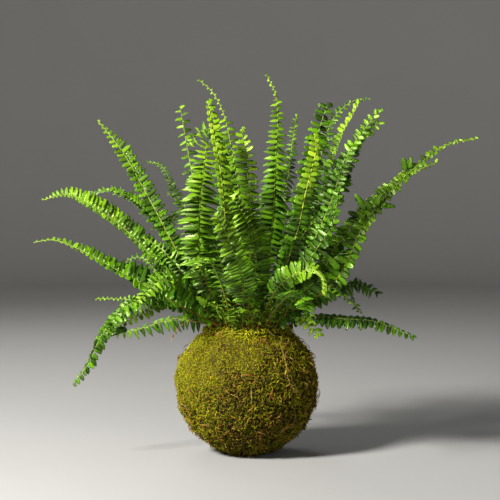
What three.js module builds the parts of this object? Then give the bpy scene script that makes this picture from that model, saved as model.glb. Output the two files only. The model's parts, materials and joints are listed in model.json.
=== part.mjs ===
// Kokedama: a sword fern growing out of a ball of soil wrapped in moss.
// Millimetres. The origin is the middle of the flat spot that the ball rests on.
// +X is to the right, +Y is towards the back and +Z is up.
import * as THREE from 'three';

// ---- Driving dimensions: the ball ------------------------------------------
const BALL_RADIUS = 70;        // widest radius of the moss
const BALL_CENTRE_Z = 69;      // height of the widest ring
const BALL_RISE = 62;          // from the widest ring to the top of the moss ellipse
const BALL_DROP = 73.5;        // from the widest ring to the bottom of it, below the flat spot
const MOSS_THICKNESS = 10;     // moss layer over the soil
const MOUTH_RADIUS = 40;       // opening in the moss that the fern grows out of
const LUMP_HEIGHT = 0.9;       // the moss surface swells and sinks by this much
const LUMP_FADE = 20;          // the swellings die out over this height, below the lip and above the foot
const GAP = 0.3;               // clearance between pieces that touch
const SIDES = 36;              // facets round the ball

// ---- Driving dimensions: the fern ------------------------------------------
const CROWN_RIM_Z = 119;       // edge of the crown, level with the moss lip
const CROWN_TOP_Z = 130;       // middle of the crown
const STALK_RADIUS = 1.1;      // half thickness of a stalk at the crown
const STALK_TIP_RADIUS = 0.45; // half thickness of a stalk at its tip
const STALK_FLATNESS = 0.8;    // a stalk is this much thinner from top to bottom
const FOOT_CLEARANCE = 0.7;    // from the crown up to the middle of a stalk's foot, to clear its corners
const PINNA_SPACING = 10;      // from tooth to tooth: each stands for two pairs of leaflets
const TOOTH_NOTCH = 0.45;      // width between two teeth, as a share of the tooth's
const TOOTH_SWEEP = 0.2;       // a tooth's point leans towards the tip by this share of its width
const BUD_LENGTH = 2.4;        // a leaflet that hasn't opened
const NEIGHBOUR_SHARE = 0.45;  // a blade takes this share of the way to the nearest other stalk
const ROUTE_STEPS = 64;        // samples along a stalk, to find its neighbours

const moss = new THREE.MeshStandardMaterial({ color: 0x6f6a1c, roughness: 0.95, metalness: 0 });
const soil = new THREE.MeshStandardMaterial({ color: 0x2f2115, roughness: 0.95, metalness: 0 });
const rhizome = new THREE.MeshStandardMaterial({ color: 0x5a4020, roughness: 0.85, metalness: 0 });
const tendril = new THREE.MeshStandardMaterial({ color: 0xb08a2e, roughness: 0.7, metalness: 0 });
const straw = new THREE.MeshStandardMaterial({ color: 0x9a5a22, roughness: 0.8, metalness: 0 });
const leaf = new THREE.MeshStandardMaterial({ color: 0x3f8a17, roughness: 0.45, metalness: 0 });
const youngLeaf = new THREE.MeshStandardMaterial({ color: 0x8cc21e, roughness: 0.45, metalness: 0 });

// ---- Fronds ----------------------------------------------------------------
// root: where the stalk leaves the crown, [x, y].
// via:  the points that the stalk passes through, its tip last.
// face: the way that the upper side of the leaflets looks.
// pinna: length of the longest leaflets.
// fold: how far the two rows of leaflets are raised, as a share of their length.
// bare: share of the stalk, from the crown, that carries no leaflets. The rest of it is the blade.
// foot: length of the lowest leaflets, as a share of the longest.
// taper: share of the blade, from its foot, after which the leaflets shorten.
// tip:  length of the last leaflets, as a share of the longest.
// fall: above 1 the leaflets shorten late, below 1 early.
// thin: share of the blade, at its tip, whose leaflets haven't opened yet.
// left, right: length of that row of leaflets, as a share of what the blade's outline gives.
const LEFT_FRONDS = [
  { root: [-25, 10], via: [[-62, 13, 184], [-96, 25, 246], [-121, 28, 290], [-145, 30, 320]],
    face: [0.2, -1, 0.5], pinna: 13, fold: 0.2, bare: 0.22, taper: 0.5, tip: 0.35, thin: 0.05,
    left: 0.8 },
  { root: [-28, -9],
    via: [[-73, -22, 172], [-110, -30, 213], [-146, -38, 240], [-169, -40, 250], [-190, -40, 245]],
    face: [0, -0.4, 1], pinna: 14, fold: 0.9, bare: 0.22, taper: 0.7, tip: 0.35, thin: 0.05 },
  { root: [-22, 19], via: [[-66, 34, 189], [-102, 46, 233], [-134, 50, 251], [-159, 52, 247]],
    face: [0, -0.4, 1], pinna: 12, fold: 0.6, bare: 0.25, taper: 0.7, tip: 0.5 },
  { root: [-15, 26], via: [[-51, 55, 203], [-73, 78, 251], [-87, 85, 277], [-101, 85, 281]],
    face: [0, -1, 0.3], pinna: 7, fold: 0.2, bare: 0.3, taper: 0.4, tip: 0.4, thin: 0.3 },
  { root: [-22, -25],
    via: [[-67, -42, 148], [-95, -50, 166], [-122, -54, 181], [-146, -55, 195], [-179, -55, 208],
      [-197, -54, 206]],
    face: [0, -0.7, 0.9], pinna: 20, fold: 0.4, bare: 0.16, foot: 0.8, taper: 0.45, tip: 0.25,
    fall: 0.6, thin: 0.1, left: 0.5 },
  { root: [-30, -17],
    via: [[-78, -16, 153], [-114, -28, 144], [-136, -34, 119], [-149, -38, 91], [-162, -40, 73]],
    face: [0.5, -0.5, 0.8], pinna: 15, fold: 0.3, bare: 0.2, foot: 0.7, taper: 0.3, tip: 0.3,
    right: 0.4 },
  { root: [-34, -3], via: [[-75, -6, 145], [-94, -14, 138], [-114, -20, 129], [-133, -22, 120]],
    face: [0, -1, 0.5], pinna: 11, fold: 0.1, bare: 0.2, foot: 0.7, taper: 0.4, tip: 0.4, left: 0.7 },
  { root: [-33, 7], via: [[-71, 24, 127], [-105, 30, 117], [-140, 30, 110]],
    face: [0, -1, 0.7], pinna: 14, fold: -0.3, bare: 0.25, foot: 0.8, taper: 0.35, tip: 0.3, thin: 0.1,
    right: 0.65 },
  { root: [-29, 15], via: [[-72, 50, 141], [-113, 74, 142], [-153, 85, 142]],
    face: [0, -0.5, 1], pinna: 8, fold: 0.2, bare: 0.3, taper: 0.4, tip: 0.4, thin: 0.25 },
];

const UPRIGHT_FRONDS = [
  { root: [-17, 11], via: [[-46, 36, 224], [-56, 46, 278], [-62, 50, 311], [-66, 50, 334]],
    face: [0, -1, 0.1], pinna: 10, fold: 0.1, bare: 0.3, taper: 0.5, tip: 0.7 },
  { root: [-11, 1], via: [[-18, 0, 234], [-24, -2, 292], [-31, -4, 310], [-42, -6, 311], [-54, -8, 299]],
    face: [0, -1, 0.2], pinna: 12, fold: 0.2, bare: 0.3, taper: 0.6, tip: 0.6 },
  { root: [-20, -18],
    via: [[-38, -44, 168], [-44, -57, 199], [-43, -66, 245], [-40, -67, 273], [-37, -64, 296]],
    face: [0.1, -1, 0.1], pinna: 21, fold: 0.05, bare: 0.18, taper: 0.5, tip: 0.4 },
  { root: [-3, -29], via: [[-3, -52, 154], [-7, -82, 183], [-16, -104, 210], [-27, -118, 232]],
    face: [0, -0.9, 0.5], pinna: 16, fold: 0.1, bare: 0.2, taper: 0.5, tip: 0.4 },
  { root: [8, -22], via: [[8, -44, 164], [7, -66, 199], [0, -80, 226], [-12, -84, 246]],
    face: [0.2, -1, 0.3], pinna: 18, fold: 0.1, bare: 0.22, taper: 0.6, tip: 0.35 },
  { root: [-7, -12],
    via: [[-7, -16, 244], [-13, -16, 284], [-22, -14, 326], [-33, -12, 347], [-45, -10, 358]],
    face: [0.1, -1, 0.2], pinna: 14, fold: 0.15, bare: 0.25, taper: 0.3, tip: 0.45, thin: 0.25 },
  { root: [-14, -9], via: [[-21, -34, 235], [-25, -38, 274], [-30, -38, 303], [-36, -36, 334]],
    face: [0.4, -1, 0.1], pinna: 12, fold: 0.2, bare: 0.25, taper: 0.6, tip: 0.65, left: 0.4,
    young: true },
  { root: [0, 9], via: [[1, 22, 244], [0, 22, 284], [-5, 20, 309]],
    face: [0, -1, 0.2], pinna: 12, fold: 0.2, bare: 0.28, taper: 0.5, tip: 0.6 },
  { root: [9, -9], via: [[24, -24, 221], [27, -26, 284], [29, -24, 323], [27, -22, 344], [19, -20, 362]],
    face: [0.1, -1, 0.2], pinna: 16, fold: 0.1, bare: 0.22, taper: 0.3, tip: 0.35, thin: 0.14 },
  { root: [11, 11], via: [[38, 38, 253], [45, 46, 302], [49, 45, 326]],
    face: [0, -1, 0.2], pinna: 10, fold: 0.2, bare: 0.28, taper: 0.3, tip: 0.35 },
  { root: [18, -6], via: [[53, -22, 235], [65, -22, 292], [69, -20, 313], [76, -18, 334]],
    face: [0.3, -1, 0.2], pinna: 15, fold: 0.1, bare: 0.22, taper: 0.6, tip: 0.6, right: 0.8 },
  { root: [16, -19], via: [[46, -46, 212], [55, -54, 254], [64, -52, 292], [63, -50, 304]],
    face: [0.3, -1, 0], pinna: 12, fold: 0.15, bare: 0.22, taper: 0.3, tip: 0.5, right: 0.8,
    young: true },
];

const RIGHT_FRONDS = [
  { root: [11, -30],
    via: [[21, -47, 150], [33, -62, 169], [48, -77, 180], [61, -89, 182], [69, -97, 175],
      [70, -101, 163]],
    face: [0, -1, 0.35], pinna: 14, fold: 0, bare: 0.2, foot: 0.8, taper: 0.45, tip: 0.6,
    thin: 0.25, right: 0.7 },
  { root: [24, -29],
    via: [[34, -33, 134], [50, -29, 144], [67, -26, 153], [83, -21, 167], [97, -15, 189],
      [110, -9, 218], [130, -3, 244], [166, 2, 279], [195, 4, 298], [221, 5, 303]],
    face: [-0.2, -0.9, 0.6], pinna: 17, fold: 0.25, bare: 0.1, foot: 0.8, taper: 0.15, tip: 0.3,
    fall: 0.9, thin: 0.14, right: 0.75 },
  { root: [32, 8],
    via: [[73, 4, 172], [82, 8, 193], [92, 10, 205], [104, 14, 221], [126, 20, 244], [155, 26, 267],
      [185, 30, 280]],
    face: [-0.2, -1, 0.3], pinna: 20, fold: 0.1, bare: 0.3, foot: 0.9, taper: 0.15, tip: 0.2,
    fall: 0.6, right: 0.5 },
  { root: [32, -15],
    via: [[62, -28, 134], [92, -36, 133], [120, -40, 131], [144, -42, 122], [157, -42, 117]],
    face: [0, -0.9, 0.9], pinna: 14, fold: 0.1, bare: 0.2, taper: 0.3, tip: 0.4, left: 0.4 },
  { root: [32, 18], via: [[87, 44, 154], [113, 58, 158], [130, 60, 150]],
    face: [0, -0.8, 0.7], pinna: 12, fold: 0.2, bare: 0.25, taper: 0.7, tip: 0.7 },
  { root: [19, 18], via: [[71, 56, 278], [87, 70, 325], [105, 72, 341], [122, 70, 344]],
    face: [-0.3, -0.9, 0.4], pinna: 12, fold: 0.3, bare: 0.3, taper: 0.4, tip: 0.4, thin: 0.12 },
  { root: [22, 6], via: [[76, 16, 258], [95, 22, 314], [101, 24, 323], [108, 24, 337]],
    face: [-1, -0.5, 0.5], pinna: 10, fold: 0.5, bare: 0.3, taper: 0.6, tip: 0.6, right: 0.4,
    young: true },
  { root: [26, -12], via: [[78, -30, 240], [93, -34, 285], [111, -32, 312], [123, -30, 327]],
    face: [-0.5, -0.9, 0.4], pinna: 10, fold: 0.3, bare: 0.22, taper: 0.5, tip: 0.6 },
  { root: [26, 14], via: [[74, 30, 214], [96, 40, 268], [114, 42, 307], [130, 40, 319]],
    face: [-0.4, -0.9, 0.4], pinna: 12, fold: 0.3, bare: 0.25, taper: 0.5, tip: 0.5 },
  { root: [22, -26],
    via: [[42, -54, 166], [65, -70, 202], [78, -74, 222], [82, -74, 241], [83, -73, 253]],
    face: [-0.8, -0.7, 0.3], pinna: 15, fold: 0.2, bare: 0.22, taper: 0.4, tip: 0.45 },
  { root: [25, -21], via: [[50, -38, 134], [68, -46, 119]],
    face: [0, -0.7, 0.7], pinna: 9, fold: 0.1, bare: 0.3, taper: 0.6, tip: 0.6, young: true },
];

// Three more close the gaps between the others.
const GAP_FRONDS = [
  { root: [-26, -14],
    via: [[-44, -26, 158], [-58, -34, 173], [-70, -38, 188], [-83, -40, 201], [-96, -40, 209]],
    face: [0, -1, 0.4], pinna: 18, fold: 0.1, bare: 0.22, foot: 0.8, taper: 0.4, tip: 0.3,
    thin: 0.12, left: 0.5 },
  { root: [-33, -9],
    via: [[-51, -27, 147], [-69, -35, 165], [-85, -40, 179], [-97, -40, 190], [-108, -38, 190],
      [-115, -36, 185], [-121, -34, 180]],
    face: [0, -1, 0.4], pinna: 13, fold: 0.1, bare: 0.22, foot: 0.8, taper: 0.3, tip: 0.3, thin: 0.1,
    left: 0.5 },
  { root: [25, -4], via: [[52, -6, 173], [66, -6, 215], [78, -6, 251], [87, -5, 282]],
    face: [-0.3, -1, 0.3], pinna: 15, fold: 0.2, bare: 0.22, taper: 0.5, tip: 0.5 },
];

// The rest of the plant stands in three rings. Each line gives a frond's bearing in degrees,
// the radius of its root, its reach from the axis, the height of its arch and of its tip,
// and the length of its longest leaflets.
const BACK_RING = [
  [36, 34, 142, 168, 128, 14],
  [56, 30, 152, 226, 206, 16],
  [70, 20, 122, 272, 268, 15],
  [79, 34, 144, 150, 122, 14],
  [90, 27, 168, 214, 184, 17],
  [103, 19, 112, 286, 290, 15],
  [112, 34, 138, 146, 118, 14],
  [124, 28, 156, 230, 212, 16],
  [143, 34, 132, 180, 142, 14],
];
const INNER_RING = [
  [15, 3, 30, 236, 246, 15],
  [62, 15, 62, 246, 262, 15],
  [128, 14, 58, 262, 282, 15],
  [172, 20, 78, 232, 252, 16],
  [232, 22, 74, 216, 236, 17],
  [318, 26, 84, 206, 226, 17],
];
const FRONT_RING = [
  [-42, 35, 126, 172, 152, 13],
  [-64, 34, 138, 162, 136, 13],
  [-88, 35, 112, 196, 200, 15],
  [-113, 33, 122, 192, 184, 15],
  [-140, 34, 132, 172, 152, 15],
];
const RING_STYLE = { fold: 0.2, bare: 0.24, taper: 0.45, tip: 0.3 };
const RING_INWARD = 0.6;   // how far the upper side of a ring frond looks towards the axis

// ---- The ball --------------------------------------------------------------

// Radius of an ellipsoid of revolution round the ball's axis at a height.
function radiusAt(z, radius, rise, drop) {
  const h = (z - BALL_CENTRE_Z) / (z > BALL_CENTRE_Z ? rise : drop);
  return radius * Math.sqrt(Math.max(0, 1 - h * h));
}

// Points of that ellipsoid's outline from one height to another, closer together near its poles.
function arc(fromZ, toZ, radius, rise, drop, steps) {
  const angle = (z) => Math.asin((z - BALL_CENTRE_Z) / (z > BALL_CENTRE_Z ? rise : drop));
  const from = angle(fromZ);
  const to = angle(toZ);
  const points = [];
  for (let i = 0; i <= steps; i++) {
    const a = from + ((to - from) * i) / steps;
    const z = BALL_CENTRE_Z + Math.sin(a) * (a > 0 ? rise : drop);
    points.push(new THREE.Vector2(radius * Math.cos(a), z));
  }
  return points;
}

// Height of an ellipsoid's upper half at a radius.
function heightAt(r, radius, rise) {
  return BALL_CENTRE_Z + rise * Math.sqrt(1 - (r / radius) ** 2);
}

function lathe(profile) {
  const geometry = new THREE.LatheGeometry(profile, SIDES);
  geometry.rotateX(Math.PI / 2);
  return geometry;
}

// Broad soft swellings of the moss, none at the flat spot, at the lip or inside the layer.
function addLumps(geometry) {
  const place = geometry.attributes.position;
  const point = new THREE.Vector3();
  for (let i = 0; i < place.count; i++) {
    point.fromBufferAttribute(place, i);
    const across = Math.hypot(point.x, point.y);
    const inner = radiusAt(point.z, BALL_RADIUS - MOSS_THICKNESS / 2, BALL_RISE, BALL_DROP);
    if (across < inner) continue;
    const fade = THREE.MathUtils.clamp(Math.min(point.z, CROWN_RIM_Z - point.z) / LUMP_FADE, 0, 1);
    const turn = Math.atan2(point.y, point.x);
    const swell = Math.sin(3 * turn + point.z / 17) + 0.6 * Math.sin(7 * turn - point.z / 11);
    const grow = 1 + (LUMP_HEIGHT * swell * fade) / BALL_RADIUS;
    place.setXYZ(i, point.x * grow, point.y * grow, point.z);
  }
  return geometry;
}

const innerRadius = BALL_RADIUS - MOSS_THICKNESS;
const innerRise = BALL_RISE - MOSS_THICKNESS;
const innerDrop = BALL_CENTRE_Z - MOSS_THICKNESS;

function mossCover() {
  const lipZ = heightAt(MOUTH_RADIUS, BALL_RADIUS, BALL_RISE);
  const throatZ = heightAt(MOUTH_RADIUS, innerRadius, innerRise);
  const outside = arc(0, lipZ, BALL_RADIUS, BALL_RISE, BALL_DROP, 16);
  const inside = arc(throatZ, MOSS_THICKNESS, innerRadius, innerRise, innerDrop, 12);
  inside[inside.length - 1].x = 0;
  return addLumps(lathe([new THREE.Vector2(0, 0), ...outside, ...inside]));
}

function soilBall() {
  const bottom = MOSS_THICKNESS + GAP;
  const top = BALL_CENTRE_Z + innerRise - GAP;
  const profile = arc(bottom, top, innerRadius - GAP, innerRise - GAP, innerDrop - GAP, 14);
  profile[0].x = 0;
  profile[profile.length - 1].x = 0;
  return lathe(profile);
}

const crownRadius = MOUTH_RADIUS - GAP;

// Height of the crown's domed top.
function crownZ(r) {
  return CROWN_TOP_Z - (CROWN_TOP_Z - CROWN_RIM_Z) * (r / crownRadius) ** 2;
}

function crownBody() {
  const under = [];
  const over = [];
  const steps = 6;
  for (let i = 0; i <= steps; i++) {
    const r = (crownRadius * i) / steps;
    under.push(new THREE.Vector2(r, heightAt(r, innerRadius, innerRise) + GAP));
    over.unshift(new THREE.Vector2(r, crownZ(r)));
  }
  return lathe([...under, ...over]);
}

// ---- The fronds ------------------------------------------------------------

// The stalk's foot stands just clear of the crown, over its root.
function foot([x, y]) {
  return new THREE.Vector3(x, y, crownZ(Math.hypot(x, y)) + FOOT_CLEARANCE);
}

function ringFrond([bearing, rootRadius, reach, archZ, tipZ, pinna]) {
  const turn = THREE.MathUtils.degToRad(bearing);
  const out = (r, z) => [r * Math.cos(turn), r * Math.sin(turn), z];
  const rootZ = crownZ(rootRadius);
  const span = reach - rootRadius;
  return {
    root: [rootRadius * Math.cos(turn), rootRadius * Math.sin(turn)],
    via: [
      out(rootRadius + 0.3 * span, rootZ + 0.62 * (archZ - rootZ)),
      out(rootRadius + 0.66 * span, archZ),
      out(reach, tipZ),
    ],
    face: [-RING_INWARD * Math.cos(turn), -RING_INWARD * Math.sin(turn), 1],
    pinna,
    ...RING_STYLE,
  };
}

const fronds = [
  ...LEFT_FRONDS,
  ...UPRIGHT_FRONDS,
  ...RIGHT_FRONDS,
  ...[...BACK_RING, ...INNER_RING, ...FRONT_RING].map(ringFrond),
  ...GAP_FRONDS,
];

const routes = fronds.map(({ root, via }) => {
  const points = [foot(root), ...via.map((p) => new THREE.Vector3(...p))];
  return new THREE.CatmullRomCurve3(points, false, 'centripetal');
});
const samples = routes.map((route) => route.getSpacedPoints(ROUTE_STEPS));

// Distance from a point of one stalk to the nearest other stalk.
function distanceToOthers(point, own) {
  const line = new THREE.Line3();
  const nearest = new THREE.Vector3();
  let least = Infinity;
  samples.forEach((route, index) => {
    if (index === own) return;
    for (let i = 0; i < ROUTE_STEPS; i++) {
      line.set(route[i], route[i + 1]).closestPointToPoint(point, true, nearest);
      least = Math.min(least, nearest.distanceTo(point));
    }
  });
  return least;
}

// Length of the leaflets at a share s of the blade, which is 0 at its foot and 1 at its tip.
// They grow over the first fifth, keep their length up to the taper and then shorten to the tip.
function leafletLength({ pinna, foot = 0.45, taper, tip, thin = 0, fall = 1.3 }, s) {
  const opened = 1 - thin;
  if (s > opened) return BUD_LENGTH;
  const along = s / opened;
  const growth = foot + (1 - foot) * Math.min(1, along / 0.2);
  const past = Math.max(0, (along - taper) / (1 - taper));
  return pinna * growth * (1 - (1 - tip) * past ** fall);
}

// One closed frond: a four-cornered stalk whose left and right corners spread into a toothed blade.
function frondGeometry(index) {
  const { face, fold, bare, left = 1, right = 1 } = fronds[index];
  const route = routes[index];
  const length = route.getLength();
  const teeth = Math.max(4, Math.round(((1 - bare) * length) / PINNA_SPACING));
  const stations = [0, bare * 0.5, bare];
  for (let i = 1; i < 2 * teeth; i++) stations.push(bare + ((1 - bare) * i) / (2 * teeth));
  stations.push(1);

  const corners = [];
  const upper = new THREE.Vector3(...face);
  stations.forEach((u, i) => {
    const centre = route.getPointAt(u);
    const along = route.getTangentAt(u);
    const up = upper.clone().addScaledVector(along, -upper.dot(along)).normalize();
    const side = new THREE.Vector3().crossVectors(along, up);
    const thick = THREE.MathUtils.lerp(STALK_RADIUS, STALK_TIP_RADIUS, u);
    const isTooth = u > bare && i % 2 === 1;
    const isBlade = u > bare && u < 1;
    let half = thick;
    if (isBlade) half = leafletLength(fronds[index], (u - bare) / (1 - bare)) * (isTooth ? 1 : TOOTH_NOTCH);
    const slant = Math.hypot(1, fold, TOOTH_SWEEP);
    const room = NEIGHBOUR_SHARE * distanceToOthers(centre, index) - GAP;
    for (const [across, lift, share] of [[-1, 0, left], [0, -1, 1], [1, 0, right], [0, 1, 1]]) {
      const width = Math.max(Math.min(half * share, room / slant), thick * STALK_FLATNESS);
      const lean = isTooth ? TOOTH_SWEEP * width : 0;
      const raise = isBlade ? fold * width : 0;
      const corner = centre.clone();
      corner.addScaledVector(side, across * width);
      corner.addScaledVector(up, lift * thick * STALK_FLATNESS + Math.abs(across) * raise);
      corner.addScaledVector(along, Math.abs(across) * lean);
      corners.push(corner);
    }
  });

  const positions = corners.flatMap((c) => [c.x, c.y, c.z]);
  const faces = [0, 1, 2, 0, 2, 3];
  for (let i = 0; i + 1 < stations.length; i++) {
    for (let k = 0; k < 4; k++) {
      const a = 4 * i + k;
      const b = 4 * i + ((k + 1) % 4);
      faces.push(a, b + 4, b, a, a + 4, b + 4);
    }
  }
  const last = 4 * (stations.length - 1);
  faces.push(last, last + 2, last + 1, last, last + 3, last + 2);
  const geometry = new THREE.BufferGeometry();
  geometry.setAttribute('position', new THREE.Float32BufferAttribute(positions, 3));
  geometry.setIndex(faces);
  return geometry;
}

// ---- Tendril and dead stalk ------------------------------------------------

function tube(points, radius, sides, steps) {
  const section = new THREE.Shape();
  for (let i = 0; i < sides; i++) {
    const a = (2 * Math.PI * i) / sides;
    const x = radius * Math.cos(a);
    const y = radius * Math.sin(a);
    if (i === 0) section.moveTo(x, y);
    else section.lineTo(x, y);
  }
  section.closePath();
  const path = new THREE.CatmullRomCurve3(points.map((p) => new THREE.Vector3(...p)));
  return new THREE.ExtrudeGeometry(section, { steps, extrudePath: path, bevelEnabled: false });
}

const RUNNER_RADIUS = 0.5;
const RUNNER_LIFT = 2.2;   // from the moss ellipse to the middle of the runner, over its lumps
// Heights down the ball and how far to the right the runner passes at each.
const RUNNER_PATH = [[116, 33], [108, 32], [99, 35], [90, 37], [80, 38], [72, 42], [66, 45]];

function runner() {
  const points = RUNNER_PATH.map(([z, x]) => {
    const r = radiusAt(z, BALL_RADIUS, BALL_RISE, BALL_DROP) + RUNNER_LIFT;
    return [x, -Math.sqrt(r * r - x * x), z];
  });
  return tube(points, RUNNER_RADIUS, 6, 24);
}

const DEAD_STALK_RADIUS = 0.5;
const DEAD_STALK_PATH = [[-37, -8, 124], [-48, -9, 128], [-60, -10, 126], [-68, -10, 118], [-73, -10, 108]];

// ---- The plant -------------------------------------------------------------

const plant = new THREE.Group();

function add(name, geometry, material) {
  const mesh = new THREE.Mesh(geometry, material.clone());
  mesh.name = name;
  plant.add(mesh);
}

add('moss_cover', mossCover(), moss);
add('soil_ball', soilBall(), soil);
add('crown', crownBody(), rhizome);
add('runner', runner(), tendril);
add('dead_stalk', tube(DEAD_STALK_PATH, DEAD_STALK_RADIUS, 6, 14), straw);
fronds.forEach((frond, i) => {
  add(`frond_${String(i + 1).padStart(2, '0')}`, frondGeometry(i), frond.young ? youngLeaf : leaf);
});

export default plant;
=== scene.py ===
# %% [markdown]
# # Kokedama with a sword fern
# A kokedama is a plant whose roots are packed in a ball of soil, and the ball is wrapped in living moss.
# This lesson dresses a imported model of one: a moss ball, a crown and fifty-five fronds. The model is the
# frame. It says where every piece is, and this script gives each piece its real surface.
# First the frame is loaded, and each of its pieces is hung on the body that it belongs to.

# %% Load the frame
import bpy
import json
import math
import random
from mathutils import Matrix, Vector, noise

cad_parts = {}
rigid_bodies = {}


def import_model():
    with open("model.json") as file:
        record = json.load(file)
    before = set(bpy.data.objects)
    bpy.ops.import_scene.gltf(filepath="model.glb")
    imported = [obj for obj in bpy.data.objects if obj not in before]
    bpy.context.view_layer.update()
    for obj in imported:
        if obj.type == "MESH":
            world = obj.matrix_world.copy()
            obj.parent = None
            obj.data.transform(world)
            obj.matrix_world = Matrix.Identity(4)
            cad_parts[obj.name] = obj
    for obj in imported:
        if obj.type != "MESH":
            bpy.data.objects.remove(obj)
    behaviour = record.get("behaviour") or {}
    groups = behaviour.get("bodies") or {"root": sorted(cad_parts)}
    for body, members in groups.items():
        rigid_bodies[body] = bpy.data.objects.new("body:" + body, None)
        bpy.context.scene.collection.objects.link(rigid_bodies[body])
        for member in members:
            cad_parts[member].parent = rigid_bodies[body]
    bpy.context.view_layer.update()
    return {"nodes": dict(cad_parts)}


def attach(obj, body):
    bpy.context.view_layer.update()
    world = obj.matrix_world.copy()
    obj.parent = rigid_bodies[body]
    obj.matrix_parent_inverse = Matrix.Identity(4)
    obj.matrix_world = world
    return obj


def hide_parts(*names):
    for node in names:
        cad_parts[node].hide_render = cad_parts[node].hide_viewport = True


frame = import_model()
MM = 0.001

# %% [markdown]
# ## Camera, floor and light
# The plant is seen from the front, a few degrees above level, from far enough away that it hardly
# narrows towards the back. A strong soft light stands at the upper left, a weak one at the right of
# the front softens the shadows, and a third, behind the plant, draws its edges. The floor runs up into
# a pale backdrop, so that there is no horizon.

# %% Camera
AIM = Vector((3 * MM, 0, 196 * MM))      # middle of the picture
DISTANCE = 1.5
ELEVATION = math.radians(3.0)
PICTURE_WIDTH = 481 * MM                 # what the picture spans at the plant
SENSOR = 36.0                            # mm
FARTHEST = 20.0                          # m, well past the backdrop

camera_data = bpy.data.cameras.new("camera")
camera_data.sensor_width = SENSOR
camera_data.lens = SENSOR * DISTANCE / PICTURE_WIDTH
camera_data.clip_end = FARTHEST
camera = bpy.data.objects.new("camera", camera_data)
camera.location = AIM + DISTANCE * Vector((0, -math.cos(ELEVATION), math.sin(ELEVATION)))
camera.rotation_euler = (math.pi / 2 - ELEVATION, 0, 0)
bpy.context.scene.collection.objects.link(camera)
bpy.context.scene.camera = camera
print("lens, mm:", round(camera_data.lens, 1))

# %% Light
def soft_light(name, place, size, power, colour):
    data = bpy.data.lights.new(name, "AREA")
    data.shape = "DISK"
    data.size = size
    data.energy = power
    data.color = colour
    light = bpy.data.objects.new(name, data)
    light.location = place
    light.rotation_euler = (AIM - Vector(place)).to_track_quat("-Z", "Y").to_euler()
    bpy.context.scene.collection.objects.link(light)


soft_light("key_light", place=(-0.95, -0.82, 1.0), size=0.35, power=54, colour=(1.0, 0.97, 0.92))
soft_light("fill_light", place=(0.6, -1.3, 0.5), size=0.8, power=2.2, colour=(1.0, 1.0, 0.98))
soft_light("rim_light", place=(-0.35, 0.95, 1.0), size=0.6, power=4, colour=(1.0, 1.0, 0.98))

ROOM_COLOUR = (0.95, 0.95, 0.93, 1)
ROOM_LIGHT = 0.07
world = bpy.data.worlds.new("studio")
world.use_nodes = True
background = world.node_tree.nodes["Background"]
background.inputs["Color"].default_value = ROOM_COLOUR
background.inputs["Strength"].default_value = ROOM_LIGHT
bpy.context.scene.world = world
# No film curve, so that each finish is seen in the colour that it was mixed in.
bpy.context.scene.view_settings.view_transform = "Standard"
print("lights:", [light.name for light in bpy.data.lights])

# %% [markdown]
# ## Helpers for node trees
# Materials and Geometry Nodes are both trees of nodes. These short helpers add a node, fill its inputs
# by name, with a value or with another node's output, and give back an output to plug in further on.

# %% Node helpers
def add(tree, kind, inputs=None, **settings):
    """A new node. inputs is {name: value or socket}, and settings are the node's own properties."""
    node = tree.nodes.new(kind)
    for name, value in settings.items():
        setattr(node, name, value)
    for name, value in (inputs or {}).items():
        fill(tree, socket(node.inputs, name), value)
    return node


def socket(sockets, name):
    """The socket in use that has this name, or this number in the order of those in use."""
    used = [s for s in sockets if s.enabled]
    if isinstance(name, int):
        return used[name]
    return next(s for s in used if s.name == name)


def fill(tree, target, value):
    if isinstance(value, bpy.types.NodeSocket):
        tree.links.new(value, target)
    else:
        target.default_value = value


def out(node, name=0):
    return socket(node.outputs, name)


def maths(tree, operation, *values):
    return out(add(tree, "ShaderNodeMath", dict(enumerate(values)), operation=operation))


def vectors(tree, operation, *values):
    return out(add(tree, "ShaderNodeVectorMath", dict(enumerate(values)), operation=operation))


def mix_colour(tree, share, a, b):
    mix = add(tree, "ShaderNodeMix", data_type="RGBA", blend_type="MIX")
    for name, value in (("Factor", share), ("A", a), ("B", b)):
        fill(tree, socket(mix.inputs, name), value)
    return out(mix)


def ramp(tree, value, low, high, to_low=0.0, to_high=1.0):
    """value, from low to high, spread evenly from to_low to to_high and held at the ends."""
    inputs = {"Value": value, "From Min": low, "From Max": high, "To Min": to_low, "To Max": to_high}
    return out(add(tree, "ShaderNodeMapRange", inputs))


def noise_level(tree, place, scale, detail):
    return out(add(tree, "ShaderNodeTexNoise", {"Vector": place, "Scale": scale, "Detail": detail}), "Fac")


def object_place(tree):
    """Where a point lies on its piece, for a material."""
    return out(add(tree, "ShaderNodeTexCoord"), "Object")


def new_group(name, kind, inputs, outputs):
    """A node group with named sockets: (name, socket type, default)."""
    group = bpy.data.node_groups.new(name, kind)
    for label, socket_type, default in inputs:
        made = group.interface.new_socket(label, in_out="INPUT", socket_type=socket_type)
        if default is not None:
            made.default_value = default
    for label, socket_type in outputs:
        group.interface.new_socket(label, in_out="OUTPUT", socket_type=socket_type)
    return group, group.nodes.new("NodeGroupInput"), group.nodes.new("NodeGroupOutput")


# %% [markdown]
# ## Finishes
# Three effects are built once, as groups, and a material places them with its own values. *Grown
# tint* shifts a colour a little from one leaflet or shoot to the next and mottles it over each, because
# no two parts of a plant have quite the same green. *Dry speckle* browns small spots, only the rarest
# where its amount is 0. *Fine relief* gives a height for the Bump node, from a fine and a coarse noise.

# %% Shared effects
FLOAT = "NodeSocketFloat"
WHOLE = "NodeSocketInt"
COLOUR = "NodeSocketColor"
VECTOR = "NodeSocketVector"
GEOMETRY = "NodeSocketGeometry"
COLLECTION = "NodeSocketCollection"
MATERIAL = "NodeSocketMaterial"


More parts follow.
